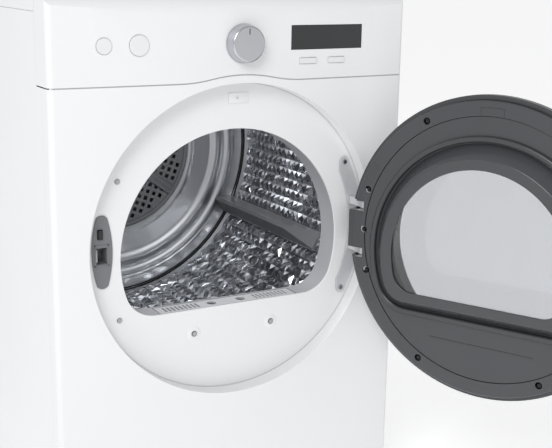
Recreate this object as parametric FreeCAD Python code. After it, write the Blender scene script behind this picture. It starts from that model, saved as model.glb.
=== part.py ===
"""Front-loading household clothes dryer with its round door, drum, drive, heater and ducts.

The origin is on the floor at the middle of the four levelling feet. +X points to the viewer's
right, +Y into the machine and +Z up. All lengths are millimetres. A "depth" is a distance behind
the crest of the front panel, so a negative depth stands out in front of it.
"""
import FreeCAD, Part
import math
import os

from FreeCAD import Vector

# ---------------------------------------------------------------- cabinet
WIDTH = 686.0
HEIGHT = 984.0
DEPTH = 720.0
SHEET = 1.0
CROWN_RADIUS = 6000.0
EDGE_RADIUS = 10.0
FOOT_HEIGHT = 22.0
PANEL_CLEARANCE = 8.0
FRONT_RETURN = 40.0
TOP_COVER_HEIGHT = 26.0
TOP_COVER_RADIUS = 6.0
BASE_WALL = 25.0
FOOT_INSET = 53.0
FOOT_RADIUS = 20.0
FOOT_PAD = 10.0
STUD_RADIUS = 5.0
STUD_LENGTH = 45.0
STUD_CLEARANCE = 0.05
JOINT_GAP = 0.5

# ---------------------------------------------------------------- door recess and opening
DOOR_Z = 555.0
RECESS_RADIUS = 282.5
RECESS_FLOOR_RADIUS = 281.0
RECESS_DEPTH = 31.5
OPENING_RADIUS = 218.0
OPENING_DROP = 18.5
OPENING_FLAT = 124.5
OPENING_CORNER = 60.0
OPENING_LIP = 3.0
SEAM_ABOVE_DOOR = 283.5
SEAM_GAP = 2.0
ARCH_RISE = 12.0
ARCH_HALF = 118.0

# ---------------------------------------------------------------- control panel
FASCIA_WALL = 2.5
FASCIA_DEPTH = 68.0
FASCIA_TOP_RADIUS = 40.0
CONTROL_Z = 905.0
KNOB_RADIUS = 33.0
KNOB_HEIGHT = 22.0
KNOB_SHAFT_RADIUS = 4.0
SHAFT_CLEARANCE = 0.06
BUTTON_GAP = 0.4
BUTTON_PROUD = 2.0
POWER_X = -250.0
POWER_RADIUS = 13.0
START_X = -190.0
START_RADIUS = 17.0
OPTION_X = (130.0, 190.0)
OPTION_Z = 872.0
OPTION_WIDTH = 34.0
OPTION_HEIGHT = 10.0
DISPLAY_X = (95.0, 245.0)
DISPLAY_Z = (892.0, 934.0)
BOARD_THICKNESS = 1.6
BOARD_DEPTH = 40.0

# ---------------------------------------------------------------- drum and its bulkheads
DRUM_RADIUS = 330.0
DRUM_WALL = 0.8
DRUM_ABOVE_DOOR = 70.0
DRUM_REAR_DEPTH = 616.5
DRUM_HEAD_DEPTH = 96.0
DRUM_HEAD_WIDTH = 44.0
DRUM_LIP_LENGTH = 8.0
DRUM_END_GAP = 2.0
BULKHEAD_DEPTH = 84.0
BULKHEAD_SHEET = 1.2
BULKHEAD_RIM_GAP = 6.0
BULKHEAD_RIM_LENGTH = 15.0
BULKHEAD_INSET = 7.0
FELT_GAP = 0.3
REAR_RIM_GAP = 6.5
REAR_RIM_LENGTH = 16.0
REAR_RING_INSETS = (58.0, 33.0)
INLET_RING_GAP = 34.0
REAR_RING_WIDTH = 7.0
REAR_RING_HEIGHT = 3.5
GRILLE_RADIUS = 181.0
GRILLE_THICKNESS = 6.5
GRILLE_HOLE = 9.0
GRILLE_PITCH = 16.0
GRILLE_TURN = 22.0
GRILLE_HUB = 34.0
AIR_HOLE_RADIUS = 172.0
LIFTER_COUNT = 3
LIFTER_FIRST_ANGLE = -27.4
LIFTER_HEIGHT = 44.0
LIFTER_HALF_WIDTH = 20.5
LIFTER_FRONT_DEPTH = 205.0
LIFTER_RAMP = 82.0
LIFTER_REAR_GAP = 8.0
LIFTER_CREST = 3.8
COLLAR_WALL = 2.5

# ---------------------------------------------------------------- rollers, belt, motor and blower
ROLLER_RADIUS = 22.0
ROLLER_WIDTH = 20.0
ROLLER_ANGLE = 38.0
ROLLER_GAP = 0.3
AXLE_RADIUS = 5.0
AXLE_CLEARANCE = 0.05
FRONT_ROLLER_DEPTH = 112.0
REAR_ROLLER_DEPTH = 560.0
DRIVE_X = 130.0
DRIVE_Z = 125.0
MOTOR_RADIUS = 62.0
MOTOR_DEPTH = (300.0, 410.0)
SHAFT_RADIUS = 8.0
PULLEY_RADIUS = 11.0
BELT_DEPTH = 425.0
BELT_WIDTH = 8.0
BELT_THICKNESS = 3.0
BELT_GAP = 0.3
IDLER_X = 50.0
IDLER_Z = 190.0
IDLER_RADIUS = 20.0
IDLER_PIVOT_X = 92.0
IDLER_PIVOT_Z = 148.0
IDLER_ARM_THICKNESS = 3.0
IDLER_ARM_DEPTH = 440.0
BLOWER_RADIUS = 78.0
BLOWER_DEPTH = (222.0, 266.0)
HOUSING_RADIUS = 94.0
HOUSING_DEPTH = (214.0, 276.0)
HOUSING_WALL = 2.5
EXHAUST_RADIUS = 50.8
EXHAUST_WALL = 0.8
EXHAUST_STUB = 38.0
EXHAUST_HOLE_GAP = 1.2
EXHAUST_BEAD = 3.0
EXHAUST_BEAD_LENGTH = 4.0
EXHAUST_BEAD_GAP = 2.0

# ---------------------------------------------------------------- heater
HEATER_PAN_RADIUS = 195.0
HEATER_PAN_DEPTH = 38.0
HEATER_SHEET = 0.8
HEATER_CHANNEL_HALF = 90.0
HEATER_CHANNEL_BOTTOM = 205.0
HEATER_ROD_RADIUS = 4.0
HEATER_ROD_COUNT = 6

# ---------------------------------------------------------------- lint filter and duct
FILTER_HALF_WIDTH = 136.0
FILTER_DEPTH = (44.0, 76.0)
FILTER_HEIGHT = 150.0
FILTER_WALL = 2.0
FILTER_TOP = 4.0
FILTER_CLEARANCE = 1.0
FILTER_FINGER_X = 30.0
FILTER_FINGER_RADIUS = 9.0
FILTER_SLOT_COUNT = 9
LINT_DUCT_WALL = 2.0
LINT_INLET_RADIUS = 60.0

# ---------------------------------------------------------------- latch and hinge
LATCH_X = -251.0
LATCH_Z = 3.0
LATCH_HALF_HEIGHT = 64.0
LATCH_MID_HALF_WIDTH = 18.5
LATCH_END_HALF_WIDTH = 10.0
LATCH_THICKNESS = 2.0
HOOK_POCKET = (-261.5, -243.0, -17.0, 11.0)
SWITCH_POCKET = (-259.0, -250.0, 26.0, 43.0)
POCKET_DEPTH = 26.0
PLUNGER_GAP = 0.6
PLUNGER_PROUD = 3.5
HINGE_X = 252.0
HINGE_DEPTH = -13.5
HINGE_Z = 4.5
HINGE_ARM_OFFSET = 44.5
HINGE_ARM_HEIGHT = 14.0
HINGE_ARM_WIDTH = 11.0
HINGE_PIN_RADIUS = 4.0
HINGE_PIN_CLEARANCE = 0.05
HINGE_PLATE = 2.5
HINGE_EYE_RADIUS = 8.0
HINGE_PLATE_RADII = (247.0, 273.0)
HINGE_SLOT_INSIDE = 11.0
HINGE_TAB_X = 271.6
HINGE_SCREW_X = 233.0
HINGE_SCREW_OFFSET = 123.0
DOOR_OPEN_ANGLE = 116.5

# ---------------------------------------------------------------- door
DOOR_RIM_RADIUS = 264.5
DOOR_RIM_INNER = 238.0
DOOR_RIM_FACE = 8.4
DOOR_WALL = 3.0
DOOR_SHELL_RADIUS = 273.0
DOOR_SHELL_BACK = -2.0
DOOR_SHELL_FRONT = -46.0
DOOR_WINDOW_RADIUS = 188.0
DOOR_WINDOW_BULGE = 8.0
DOOR_GLASS_THICKNESS = 4.0
DOOR_BARREL_BACK = -14.0
BEZEL_DEPTH = 41.0
BEZEL_BASE = (210.5, 18.5, 127.5, 54.0)
BEZEL_SHOULDER = 4.0
BEZEL_CROWN = (188.0, 17.5, 108.0, 44.0)
GLASS_SIGHT = (164.6, 15.6, 89.0, 40.0)
GASKET_INNER = (212.5, 19.5, 129.0, 56.0)
GASKET_WIDTH = 10.5
GASKET_HEIGHT = 7.5
PART_GAP = 0.3
POLE_FLAT = 2.0
DOOR_SCREWS = (
    (121.5, 219.0), (233.0, 82.0), (240.7, 5.5), (232.0, -71.0), (116.0, -220.0),
    (-121.5, 219.0), (-116.0, -220.0), (-236.0, 76.0), (-236.0, -78.0),
)
SCREW_HEAD_RADIUS = 5.0
SCREW_HEAD_HEIGHT = 2.5
SCREW_SHANK_RADIUS = 2.0
SCREW_SHANK_LENGTH = 9.0
SCREW_HOLE_RADIUS = 2.2

# ---------------------------------------------------------------- rear fittings
CORD_X = -230.0
CORD_Z = 640.0
CORD_HOLE_RADIUS = 11.0
TERMINAL_HALF_WIDTH = 45.0
TERMINAL_HEIGHT = 110.0
TERMINAL_DEPTH = 22.0

# ---------------------------------------------------------------- worked-out places
HALF = WIDTH / 2
FRONT_Y = -DEPTH / 2
REAR_Y = DEPTH / 2
DRUM_Z = DOOR_Z + DRUM_ABOVE_DOOR
DRUM_LIP_RADIUS = DRUM_RADIUS - DRUM_HEAD_WIDTH
BULKHEAD_RIM_RADIUS = DRUM_LIP_RADIUS - BULKHEAD_RIM_GAP
REAR_RIM_RADIUS = DRUM_RADIUS + REAR_RIM_GAP
REAR_RING_RADII = [GRILLE_RADIUS + INLET_RING_GAP] + [DRUM_RADIUS - inset for inset in REAR_RING_INSETS]
SEAM_Z = DOOR_Z + SEAM_ABOVE_DOOR
PANEL_BOTTOM = FOOT_HEIGHT + PANEL_CLEARANCE
SHOULDER_Z = HEIGHT - TOP_COVER_HEIGHT - JOINT_GAP
FLOOR_BACK = RECESS_DEPTH + SHEET
FOOT_X = HALF - FOOT_INSET
FOOT_Y = REAR_Y - FOOT_INSET
DRUM_OUTER = DRUM_RADIUS + DRUM_WALL
ROLLER_REACH = DRUM_OUTER + ROLLER_GAP + ROLLER_RADIUS
ROLLER_X = ROLLER_REACH * math.sin(math.radians(ROLLER_ANGLE))
ROLLER_Z = DRUM_Z - ROLLER_REACH * math.cos(math.radians(ROLLER_ANGLE))
REAR_PLATE_BACK = DRUM_REAR_DEPTH + BULKHEAD_SHEET


def at_depth(depth):
    """Return the Y coordinate of a depth behind the front panel's crest."""
    return FRONT_Y + depth


def crown(x):
    """Return how far the bowed front face lies behind its crest at a distance x from the middle."""
    return CROWN_RADIUS - math.sqrt(CROWN_RADIUS ** 2 - x ** 2)


# ---------------------------------------------------------------- plain solids
def box(x0, x1, y0, y1, z0, z1):
    """Return a box between two corners."""
    return Part.makeBox(x1 - x0, y1 - y0, z1 - z0, Vector(x0, y0, z0))


def cyl_y(radius, y0, y1, x=0.0, z=0.0):
    """Return a cylinder along Y."""
    return Part.makeCylinder(radius, y1 - y0, Vector(x, y0, z), Vector(0, 1, 0))


def cyl_z(radius, z0, z1, x=0.0, y=0.0):
    """Return a cylinder along Z."""
    return Part.makeCylinder(radius, z1 - z0, Vector(x, y, z0), Vector(0, 0, 1))


def cone_y(radius0, radius1, y0, y1, x=0.0, z=0.0):
    """Return a cone frustum along Y."""
    return Part.makeCone(radius0, radius1, y1 - y0, Vector(x, y0, z), Vector(0, 1, 0))


def tube_y(outer, inner, y0, y1, x=0.0, z=0.0):
    """Return a round tube along Y."""
    return cyl_y(outer, y0, y1, x, z).cut(cyl_y(inner, y0 - 1, y1 + 1, x, z))


def lathe_y(edges, x, z):
    """Turn a closed outline, drawn in the plane of X and Y at x = 0, z = 0, about the Y axis."""
    face = Part.Face(Part.Wire(edges))
    solid = face.revolve(Vector(0, 0, 0), Vector(0, 1, 0), 360)
    solid.translate(Vector(x, 0, z))
    return solid


def outline(points):
    """Return straight edges, or arcs where a middle point is given, through (r, depth) points.

    An entry ("arc", middle, end) bends the outline through the middle point.
    """
    edges = []
    start = points[0]
    for entry in list(points[1:]) + [points[0]]:
        here = Vector(start[0], at_depth(start[1]), 0)
        if entry[0] == "arc":
            _, middle, end = entry
            through = Vector(middle[0], at_depth(middle[1]), 0)
            edges.append(Part.Arc(here, through, Vector(end[0], at_depth(end[1]), 0)).toShape())
            start = end
        else:
            edges.append(Part.makeLine(here, Vector(entry[0], at_depth(entry[1]), 0)))
            start = entry
    return edges


def prism_xz(points, y0, y1):
    """Return a straight-sided prism along Y over (x, z) points."""
    wire = Part.makePolygon([Vector(x, y0, z) for x, z in points + points[:1]])
    return Part.Face(wire).extrude(Vector(0, y1 - y0, 0))


def mirrored(shape):
    """Return the shape mirrored left to right."""
    return shape.mirror(Vector(0, 0, 0), Vector(1, 0, 0))


class DShape:
    """A circle closed by a flat chord below, with rounded corners.

    centre_drop and flat_drop are measured down from the height of the door's centre.
    """

    def __init__(self, radius, centre_drop, flat_drop, corner):
        self.radius = radius
        self.centre_drop = centre_drop
        self.flat_drop = flat_drop
        self.corner = corner

    def grown(self, step):
        """Return the outline moved outwards everywhere by step."""
        return DShape(self.radius + step, self.centre_drop, self.flat_drop + step, self.corner + step)

    def wire(self, depth):
        """Return the outline as a wire at a depth."""
        y = at_depth(depth)
        centre = DOOR_Z - self.centre_drop
        flat = DOOR_Z - self.flat_drop
        rise = flat + self.corner - centre
        reach = self.radius - self.corner
        x_corner = math.sqrt(reach ** 2 - rise ** 2)
        turn = math.atan2(rise, x_corner)
        x_end = self.radius * math.cos(turn)
        z_end = centre + self.radius * math.sin(turn)
        halfway = (turn - math.pi / 2) / 2
        x_mid = x_corner + self.corner * math.cos(halfway)
        z_mid = flat + self.corner + self.corner * math.sin(halfway)
        right = Part.Arc(Vector(x_corner, y, flat), Vector(x_mid, y, z_mid), Vector(x_end, y, z_end))
        top = Part.Arc(Vector(x_end, y, z_end), Vector(0, y, centre + self.radius), Vector(-x_end, y, z_end))
        left = Part.Arc(Vector(-x_end, y, z_end), Vector(-x_mid, y, z_mid), Vector(-x_corner, y, flat))
        base = Part.makeLine(Vector(-x_corner, y, flat), Vector(x_corner, y, flat))
        return Part.Wire([base, right.toShape(), top.toShape(), left.toShape()])

    def prism(self, depth0, depth1):
        """Return the outline as a solid between two depths."""
        return Part.Face(self.wire(depth0)).extrude(Vector(0, depth1 - depth0, 0))


def d_ring(inner, width, depth0, depth1):
    """Return a D-shaped ring of a given width around an inner outline."""
    return inner.grown(width).prism(depth0, depth1).cut(inner.prism(depth0 - 1, depth1 + 1))


def d_loft(first, depth0, second, depth1):
    """Return the solid that blends one D shape into another."""
    return Part.makeLoft([first.wire(depth0), second.wire(depth1)], True, True)


OPENING = DShape(OPENING_RADIUS, OPENING_DROP, OPENING_FLAT, OPENING_CORNER)
SHELF_Z = DOOR_Z - OPENING_FLAT - SHEET


def crowned_prism(half, edge, face_depth, back_depth, z0, z1):
    """Return an upright prism whose front face is bowed and whose front corners are rounded."""
    x_arc = half - edge
    y_face = at_depth(face_depth)
    y_arc = y_face + crown(x_arc)
    y_back = at_depth(back_depth)
    lean = edge * math.cos(math.radians(45))
    left = Vector(-half, y_arc + edge, z0)
    right = Vector(half, y_arc + edge, z0)
    arc_left = Vector(-x_arc, y_arc, z0)
    arc_right = Vector(x_arc, y_arc, z0)
    left_mid = Vector(-x_arc - lean, y_arc + edge - lean, z0)
    right_mid = Vector(x_arc + lean, y_arc + edge - lean, z0)
    edges = [
        Part.makeLine(Vector(-half, y_back, z0), left),
        Part.Arc(left, left_mid, arc_left).toShape(),
        Part.Arc(arc_left, Vector(0, y_face, z0), arc_right).toShape(),
        Part.Arc(arc_right, right_mid, right).toShape(),
        Part.makeLine(right, Vector(half, y_back, z0)),
        Part.makeLine(Vector(half, y_back, z0), Vector(-half, y_back, z0)),
    ]
    return Part.Face(Part.Wire(edges)).extrude(Vector(0, 0, z1 - z0))


def arched_plate(arch_z, far_z, y0, y1):
    """Return a plate bounded by the arched seam at arch_z and a straight edge at far_z."""
    wide = HALF + 5
    radius = (ARCH_HALF ** 2 + ARCH_RISE ** 2) / (4 * ARCH_RISE)
    quarter = ARCH_HALF / 2
    dip = radius - math.sqrt(radius ** 2 - (quarter / 2) ** 2)
    half_rise = ARCH_RISE / 2

    def point(x, z):
        return Vector(x, y0, z)

    edges = [
        Part.makeLine(point(-wide, arch_z), point(-ARCH_HALF, arch_z)),
        Part.Arc(point(-ARCH_HALF, arch_z), point(-1.5 * quarter, arch_z + dip),
                 point(-quarter, arch_z + half_rise)).toShape(),
        Part.Arc(point(-quarter, arch_z + half_rise), point(0, arch_z + ARCH_RISE),
                 point(quarter, arch_z + half_rise)).toShape(),
        Part.Arc(point(quarter, arch_z + half_rise), point(1.5 * quarter, arch_z + dip),
                 point(ARCH_HALF, arch_z)).toShape(),
        Part.makeLine(point(ARCH_HALF, arch_z), point(wide, arch_z)),
        Part.makeLine(point(wide, arch_z), point(wide, far_z)),
        Part.makeLine(point(wide, far_z), point(-wide, far_z)),
        Part.makeLine(point(-wide, far_z), point(-wide, arch_z)),
    ]
    return Part.Face(Part.Wire(edges)).extrude(Vector(0, y1 - y0, 0))


def screw_y(x, seat_depth, z):
    """Return a pan-head screw whose head sits in front of seat_depth."""
    head = cyl_y(SCREW_HEAD_RADIUS, at_depth(seat_depth - SCREW_HEAD_HEIGHT), at_depth(seat_depth), x, z)
    shank = cyl_y(SCREW_SHANK_RADIUS, at_depth(seat_depth), at_depth(seat_depth + SCREW_SHANK_LENGTH), x, z)
    return head.fuse(shank)


def screw_hole_y(x, depth0, depth1, z, radius=SCREW_HOLE_RADIUS):
    """Return the cutter for a screw hole along Y."""
    return cyl_y(radius, at_depth(depth0), at_depth(depth1), x, z)


# ---------------------------------------------------------------- cabinet pieces
def foot_places():
    """Return the four feet as (name, x, y)."""
    rows = (("front", -FOOT_Y), ("rear", FOOT_Y))
    sides = (("left", -FOOT_X), ("right", FOOT_X))
    return [(f"levelling_foot_{row}_{side}", x, y) for row, y in rows for side, x in sides]


def recess_screw_places():
    """Return the (x, z above the door's centre, seat depth) of the screws in the door recess."""
    bracket_seat = RECESS_DEPTH - HINGE_PLATE
    hinge = [(HINGE_SCREW_X, side * HINGE_SCREW_OFFSET, bracket_seat) for side in (1, -1)]
    left = [(-221.5, side * 122.5, RECESS_DEPTH) for side in (1, -1)]
    lower = [(side * 79.0, -169.0, RECESS_DEPTH) for side in (1, -1)]
    return hinge + left + lower


def rear_screw_places():
    """Return the (x, z) of the screws round the rear panel."""
    heights = (60.0, 345.0, 640.0, SHOULDER_Z - 20)
    return [(side * (HALF - 8), z) for side in (1, -1) for z in heights]


def front_panel():
    """Return the bowed front panel with its pressed door recess and D-shaped opening."""
    far = FRONT_Y + FRONT_RETURN + 100
    outside = crowned_prism(HALF, EDGE_RADIUS, 0, FRONT_RETURN, PANEL_BOTTOM, HEIGHT)
    outside = outside.common(arched_plate(SEAM_Z, PANEL_BOTTOM, FRONT_Y - 30, far))
    inside = crowned_prism(HALF - SHEET, EDGE_RADIUS - SHEET, SHEET, FRONT_RETURN + 5,
                           PANEL_BOTTOM + SHEET, HEIGHT)
    inside = inside.common(arched_plate(SEAM_Z - SHEET, PANEL_BOTTOM + SHEET, FRONT_Y - 30, far))
    ahead = 8.0
    slope = (RECESS_RADIUS - RECESS_FLOOR_RADIUS) / RECESS_DEPTH
    dish_out = cone_y(RECESS_RADIUS + SHEET + ahead * slope, RECESS_FLOOR_RADIUS + SHEET,
                      at_depth(-ahead), at_depth(FLOOR_BACK), 0, DOOR_Z)
    dish_in = cone_y(RECESS_RADIUS + ahead * slope, RECESS_FLOOR_RADIUS,
                     at_depth(-ahead), at_depth(RECESS_DEPTH), 0, DOOR_Z)
    lip = OPENING.grown(SHEET).prism(RECESS_DEPTH, FLOOR_BACK + OPENING_LIP)
    panel = outside.cut(inside).fuse([dish_out.common(outside), lip]).cut(dish_in)
    cuts = [OPENING.prism(0, FLOOR_BACK + 20)]
    cuts += [screw_hole_y(x, RECESS_DEPTH - 5, FLOOR_BACK + 5, DOOR_Z + z)
             for x, z, _ in recess_screw_places()]
    for x0, x1, z0, z1 in (HOOK_POCKET, SWITCH_POCKET):
        cuts.append(box(x0 - 2, x1 + 2, at_depth(RECESS_DEPTH - 2), at_depth(FLOOR_BACK + 2),
                        DOOR_Z + z0 - 2, DOOR_Z + z1 + 2))
    return panel.cut(cuts).removeSplitter()


def side_panel():
    """Return the right side panel: a notched sheet with a front and a top flange."""
    y0 = at_depth(FRONT_RETURN + JOINT_GAP)
    y_notch = at_depth(FASCIA_DEPTH + JOINT_GAP)
    y1 = REAR_Y - SHEET
    skin = box(HALF - SHEET, HALF, y0, y1, PANEL_BOTTOM, SEAM_Z)
    skin = skin.fuse(box(HALF - SHEET, HALF, y_notch, y1, SEAM_Z - 1, SHOULDER_Z))
    front_flange = box(HALF - 18, HALF - SHEET, y0, y0 + SHEET, PANEL_BOTTOM, SEAM_Z)
    top_flange = box(HALF - 5, HALF - SHEET, y_notch, y1, SHOULDER_Z - SHEET, SHOULDER_Z)
    holes = [cyl_y(SCREW_HOLE_RADIUS, REAR_Y - 12, REAR_Y + 1, x, z) for x, z in rear_screw_places()]
    rear_tabs = [box(HALF - 16, HALF - SHEET, y1 - SHEET, y1, z - 10, z + 10)
                 for x, z in rear_screw_places() if x > 0]
    return skin.fuse([front_flange, top_flange] + rear_tabs).cut(holes)


def rear_panel():
    """Return the rear panel with the exhaust hole, the cord hole and its louvres."""
    y0 = REAR_Y - SHEET
    panel = box(-HALF, HALF, y0, REAR_Y, PANEL_BOTTOM, SHOULDER_Z)
    cuts = [cyl_y(EXHAUST_RADIUS + EXHAUST_HOLE_GAP, y0 - 1, REAR_Y + 1, 0, DRIVE_Z),
            cyl_y(CORD_HOLE_RADIUS, y0 - 1, REAR_Y + 1, CORD_X, CORD_Z)]
    cuts += [cyl_y(SCREW_HOLE_RADIUS, y0 - 1, REAR_Y + 1, x, z) for x, z in rear_screw_places()]
    for side in (1, -1):
        cuts += [box(side * 230 - 45, side * 230 + 45, y0 - 1, REAR_Y + 1, 90 + 22 * k, 96 + 22 * k)
                 for k in range(7)]
    return panel.cut(cuts)


def top_cover():
    """Return the lid of the cabinet: a shallow tray, open below."""
    front = at_depth(FASCIA_DEPTH + JOINT_GAP)
    z0 = HEIGHT - TOP_COVER_HEIGHT
    outside = box(-HALF, HALF, front, REAR_Y, z0, HEIGHT)
    rims = [e for e in outside.Edges if all(v.Z > HEIGHT - 1 for v in e.Vertexes)
            and abs(e.Vertexes[0].Y + e.Vertexes[1].Y - 2 * front) > 1]
    outside = outside.makeFillet(TOP_COVER_RADIUS, rims)
    inside = box(-HALF + SHEET, HALF - SHEET, front + SHEET, REAR_Y - SHEET, z0 - 1,
                 HEIGHT - TOP_COVER_RADIUS)
    inside = inside.fuse(box(-HALF + TOP_COVER_RADIUS, HALF - TOP_COVER_RADIUS, front + SHEET,
                             REAR_Y - TOP_COVER_RADIUS, z0, HEIGHT - SHEET))
    return outside.cut(inside)


def base_pan():
    """Return the floor tray that carries the feet, the motor and the bulkheads."""
    x1 = HALF - SHEET - JOINT_GAP
    y0 = at_depth(FRONT_RETURN + 3)
    y1 = REAR_Y - SHEET - JOINT_GAP
    z0 = FOOT_HEIGHT
    tray = box(-x1, x1, y0, y1, z0, z0 + BASE_WALL)
    hollow = box(-x1 + SHEET, x1 - SHEET, y0 + SHEET, y1 - SHEET, z0 + 2 * SHEET, z0 + BASE_WALL + 1)
    nuts = [cyl_z(12, z0, z0 + 14, x, y) for _, x, y in foot_places()]
    bores = [cyl_z(STUD_RADIUS + STUD_CLEARANCE, z0 - 1, z0 + 16, x, y) for _, x, y in foot_places()]
    return tray.cut(hollow).fuse(nuts).cut(bores)


def levelling_foot(x, y):
    """Return one foot: a round pad on a threaded stud."""
    pad = cyl_z(FOOT_RADIUS, 0, FOOT_PAD, x, y)
    return pad.fuse(cyl_z(STUD_RADIUS, FOOT_PAD, FOOT_PAD + STUD_LENGTH, x, y))


# ---------------------------------------------------------------- control panel pieces
def fascia_blank(inset, back_extra):
    """Return the fascia's outer shape drawn in by inset on every closed side."""
    body = crowned_prism(HALF - inset, EDGE_RADIUS - min(inset, EDGE_RADIUS - 1), inset,
                         FASCIA_DEPTH + back_extra, SEAM_Z, HEIGHT + 5)
    body = body.common(arched_plate(SEAM_Z + SEAM_GAP + inset, HEIGHT - inset, FRONT_Y - 30, FRONT_Y + 200))
    y0 = at_depth(inset)
    y1 = at_depth(FASCIA_DEPTH + back_extra)
    top = HEIGHT - inset
    radius = FASCIA_TOP_RADIUS - inset
    lean = radius * (1 - math.cos(math.radians(45)))
    x0 = -HALF - 5
    edges = [
        Part.makeLine(Vector(x0, y0, SEAM_Z - 5), Vector(x0, y0, top - radius)),
        Part.Arc(Vector(x0, y0, top - radius), Vector(x0, y0 + lean, top - lean),
                 Vector(x0, y0 + radius, top)).toShape(),
        Part.makeLine(Vector(x0, y0 + radius, top), Vector(x0, y1, top)),
        Part.makeLine(Vector(x0, y1, top), Vector(x0, y1, SEAM_Z - 5)),
        Part.makeLine(Vector(x0, y1, SEAM_Z - 5), Vector(x0, y0, SEAM_Z - 5)),
    ]
    return body.common(Part.Face(Part.Wire(edges)).extrude(Vector(WIDTH + 10, 0, 0)))


def display_block(margin):
    """Return the block of space that the display takes in the fascia."""
    return box(DISPLAY_X[0] - margin, DISPLAY_X[1] + margin, FRONT_Y - 5, at_depth(20),
               DISPLAY_Z[0] - margin, DISPLAY_Z[1] + margin)


def round_button(x, radius):
    """Return a round push button with a flange that keeps it behind the fascia."""
    face = crown(abs(x)) - BUTTON_PROUD
    flange = crown(abs(x) + radius) + FASCIA_WALL + BUTTON_GAP
    stem = cyl_y(radius, at_depth(face), at_depth(flange), x, CONTROL_Z)
    return stem.fuse(cyl_y(radius + 2, at_depth(flange), at_depth(flange + 3), x, CONTROL_Z))


def option_button(x):
    """Return one flat option button with its keeper flange."""
    face = crown(x) - BUTTON_PROUD
    flange = crown(x + OPTION_WIDTH / 2) + FASCIA_WALL + BUTTON_GAP
    half_w, half_h = OPTION_WIDTH / 2, OPTION_HEIGHT / 2
    stem = box(x - half_w, x + half_w, at_depth(face), at_depth(flange), OPTION_Z - half_h, OPTION_Z + half_h)
    keeper = box(x - half_w - 2, x + half_w + 2, at_depth(flange), at_depth(flange + 2.5),
                 OPTION_Z - half_h - 2, OPTION_Z + half_h + 2)
    return stem.fuse(keeper)


def control_panel():
    """Return the hollow fascia with its knob, button and display openings."""
    shell = fascia_blank(0, 0).cut(fascia_blank(FASCIA_WALL, 5))
    y0, y1 = FRONT_Y - 5, at_depth(20)
    cuts = [cyl_y(KNOB_SHAFT_RADIUS + SHAFT_CLEARANCE, y0, y1, 0, CONTROL_Z), display_block(BUTTON_GAP)]
    for x, radius in ((POWER_X, POWER_RADIUS), (START_X, START_RADIUS)):
        cuts.append(cyl_y(radius + BUTTON_GAP, y0, y1, x, CONTROL_Z))
    half_w, half_h = OPTION_WIDTH / 2 + BUTTON_GAP, OPTION_HEIGHT / 2 + BUTTON_GAP
    cuts += [box(x - half_w, x + half_w, y0, y1, OPTION_Z - half_h, OPTION_Z + half_h) for x in OPTION_X]
    return shell.cut(cuts)


def display_window():
    """Return the display's clear cover, flush with the bowed fascia."""
    shell = fascia_blank(0, 0).cut(fascia_blank(FASCIA_WALL, 5))
    return shell.common(display_block(0))


def cycle_knob():
    """Return the cycle selector: a waisted round grip on its shaft."""
    r, front = KNOB_RADIUS, -KNOB_HEIGHT
    grip = outline([(0, front), (r - 6, front), ("arc", (r - 3.2, front + 0.8), (r - 2, front + 4)),
                    (r, -1), (0, -1)])
    shaft = cyl_y(KNOB_SHAFT_RADIUS, at_depth(-1), at_depth(14), 0, CONTROL_Z)
    return lathe_y(grip, 0, CONTROL_Z).fuse(shaft)


def control_board():
    """Return the circuit board behind the fascia with its encoder, display and relays."""
    y0 = at_depth(BOARD_DEPTH)
    board = box(-290, 290, y0, y0 + BOARD_THICKNESS, 860, 950)
    display = box(DISPLAY_X[0] + 8, DISPLAY_X[1] - 8, at_depth(16), y0, DISPLAY_Z[0] + 4, DISPLAY_Z[1] - 4)
    encoder = box(-12, 12, at_depth(16), y0, CONTROL_Z - 12, CONTROL_Z + 12)
    relays = [box(-270 + 34 * k, -244 + 34 * k, y0 + BOARD_THICKNESS, y0 + 20, 862, 888) for k in range(3)]
    return board.fuse([display, encoder] + relays)


# ---------------------------------------------------------------- drum space
def front_collar():
    """Return the plastic sleeve that lines the opening from the front panel to the bulkhead."""
    sleeve = d_ring(OPENING.grown(SHEET), COLLAR_WALL, FLOOR_BACK, BULKHEAD_DEPTH)
    slot = FILTER_HALF_WIDTH + 4 + FILTER_CLEARANCE
    gap = box(-slot, slot, at_depth(FILTER_DEPTH[0] - FILTER_CLEARANCE - 3),
              at_depth(FILTER_DEPTH[1] + FILTER_CLEARANCE + 3), SHELF_Z - 10, SHELF_Z + 5)
    return sleeve.cut(gap)


def front_bulkhead():
    """Return the sheet that carries the drum's front rim and the front rollers."""
    y0, y1 = at_depth(BULKHEAD_DEPTH), at_depth(BULKHEAD_DEPTH + BULKHEAD_SHEET)
    reach = HALF - BULKHEAD_INSET
    bottom = FOOT_HEIGHT + BASE_WALL + JOINT_GAP
    plate = box(-reach, reach, y0, y1, bottom, SHOULDER_Z - 10)
    rim = cyl_y(BULKHEAD_RIM_RADIUS, y1, y1 + BULKHEAD_RIM_LENGTH, 0, DRUM_Z)
    rim = rim.cut(cyl_y(BULKHEAD_RIM_RADIUS - BULKHEAD_SHEET, y1 - 1, y1 + 50, 0, DRUM_Z))
    flange = box(reach - BULKHEAD_SHEET, reach, y1, y1 + 12, bottom, SHOULDER_Z - 10)
    cuts = [OPENING.grown(SHEET + COLLAR_WALL).prism(BULKHEAD_DEPTH - 5, BULKHEAD_DEPTH + 10),
            cyl_y(LINT_INLET_RADIUS + 2, y0 - 1, y1 + 1, DRIVE_X, DRIVE_Z)]
    cuts += [cyl_y(AXLE_RADIUS, y0 - 1, y1 + 1, side * ROLLER_X, ROLLER_Z) for side in (1, -1)]
    return plate.fuse([rim, flange, mirrored(flange)]).cut(cuts)


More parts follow.
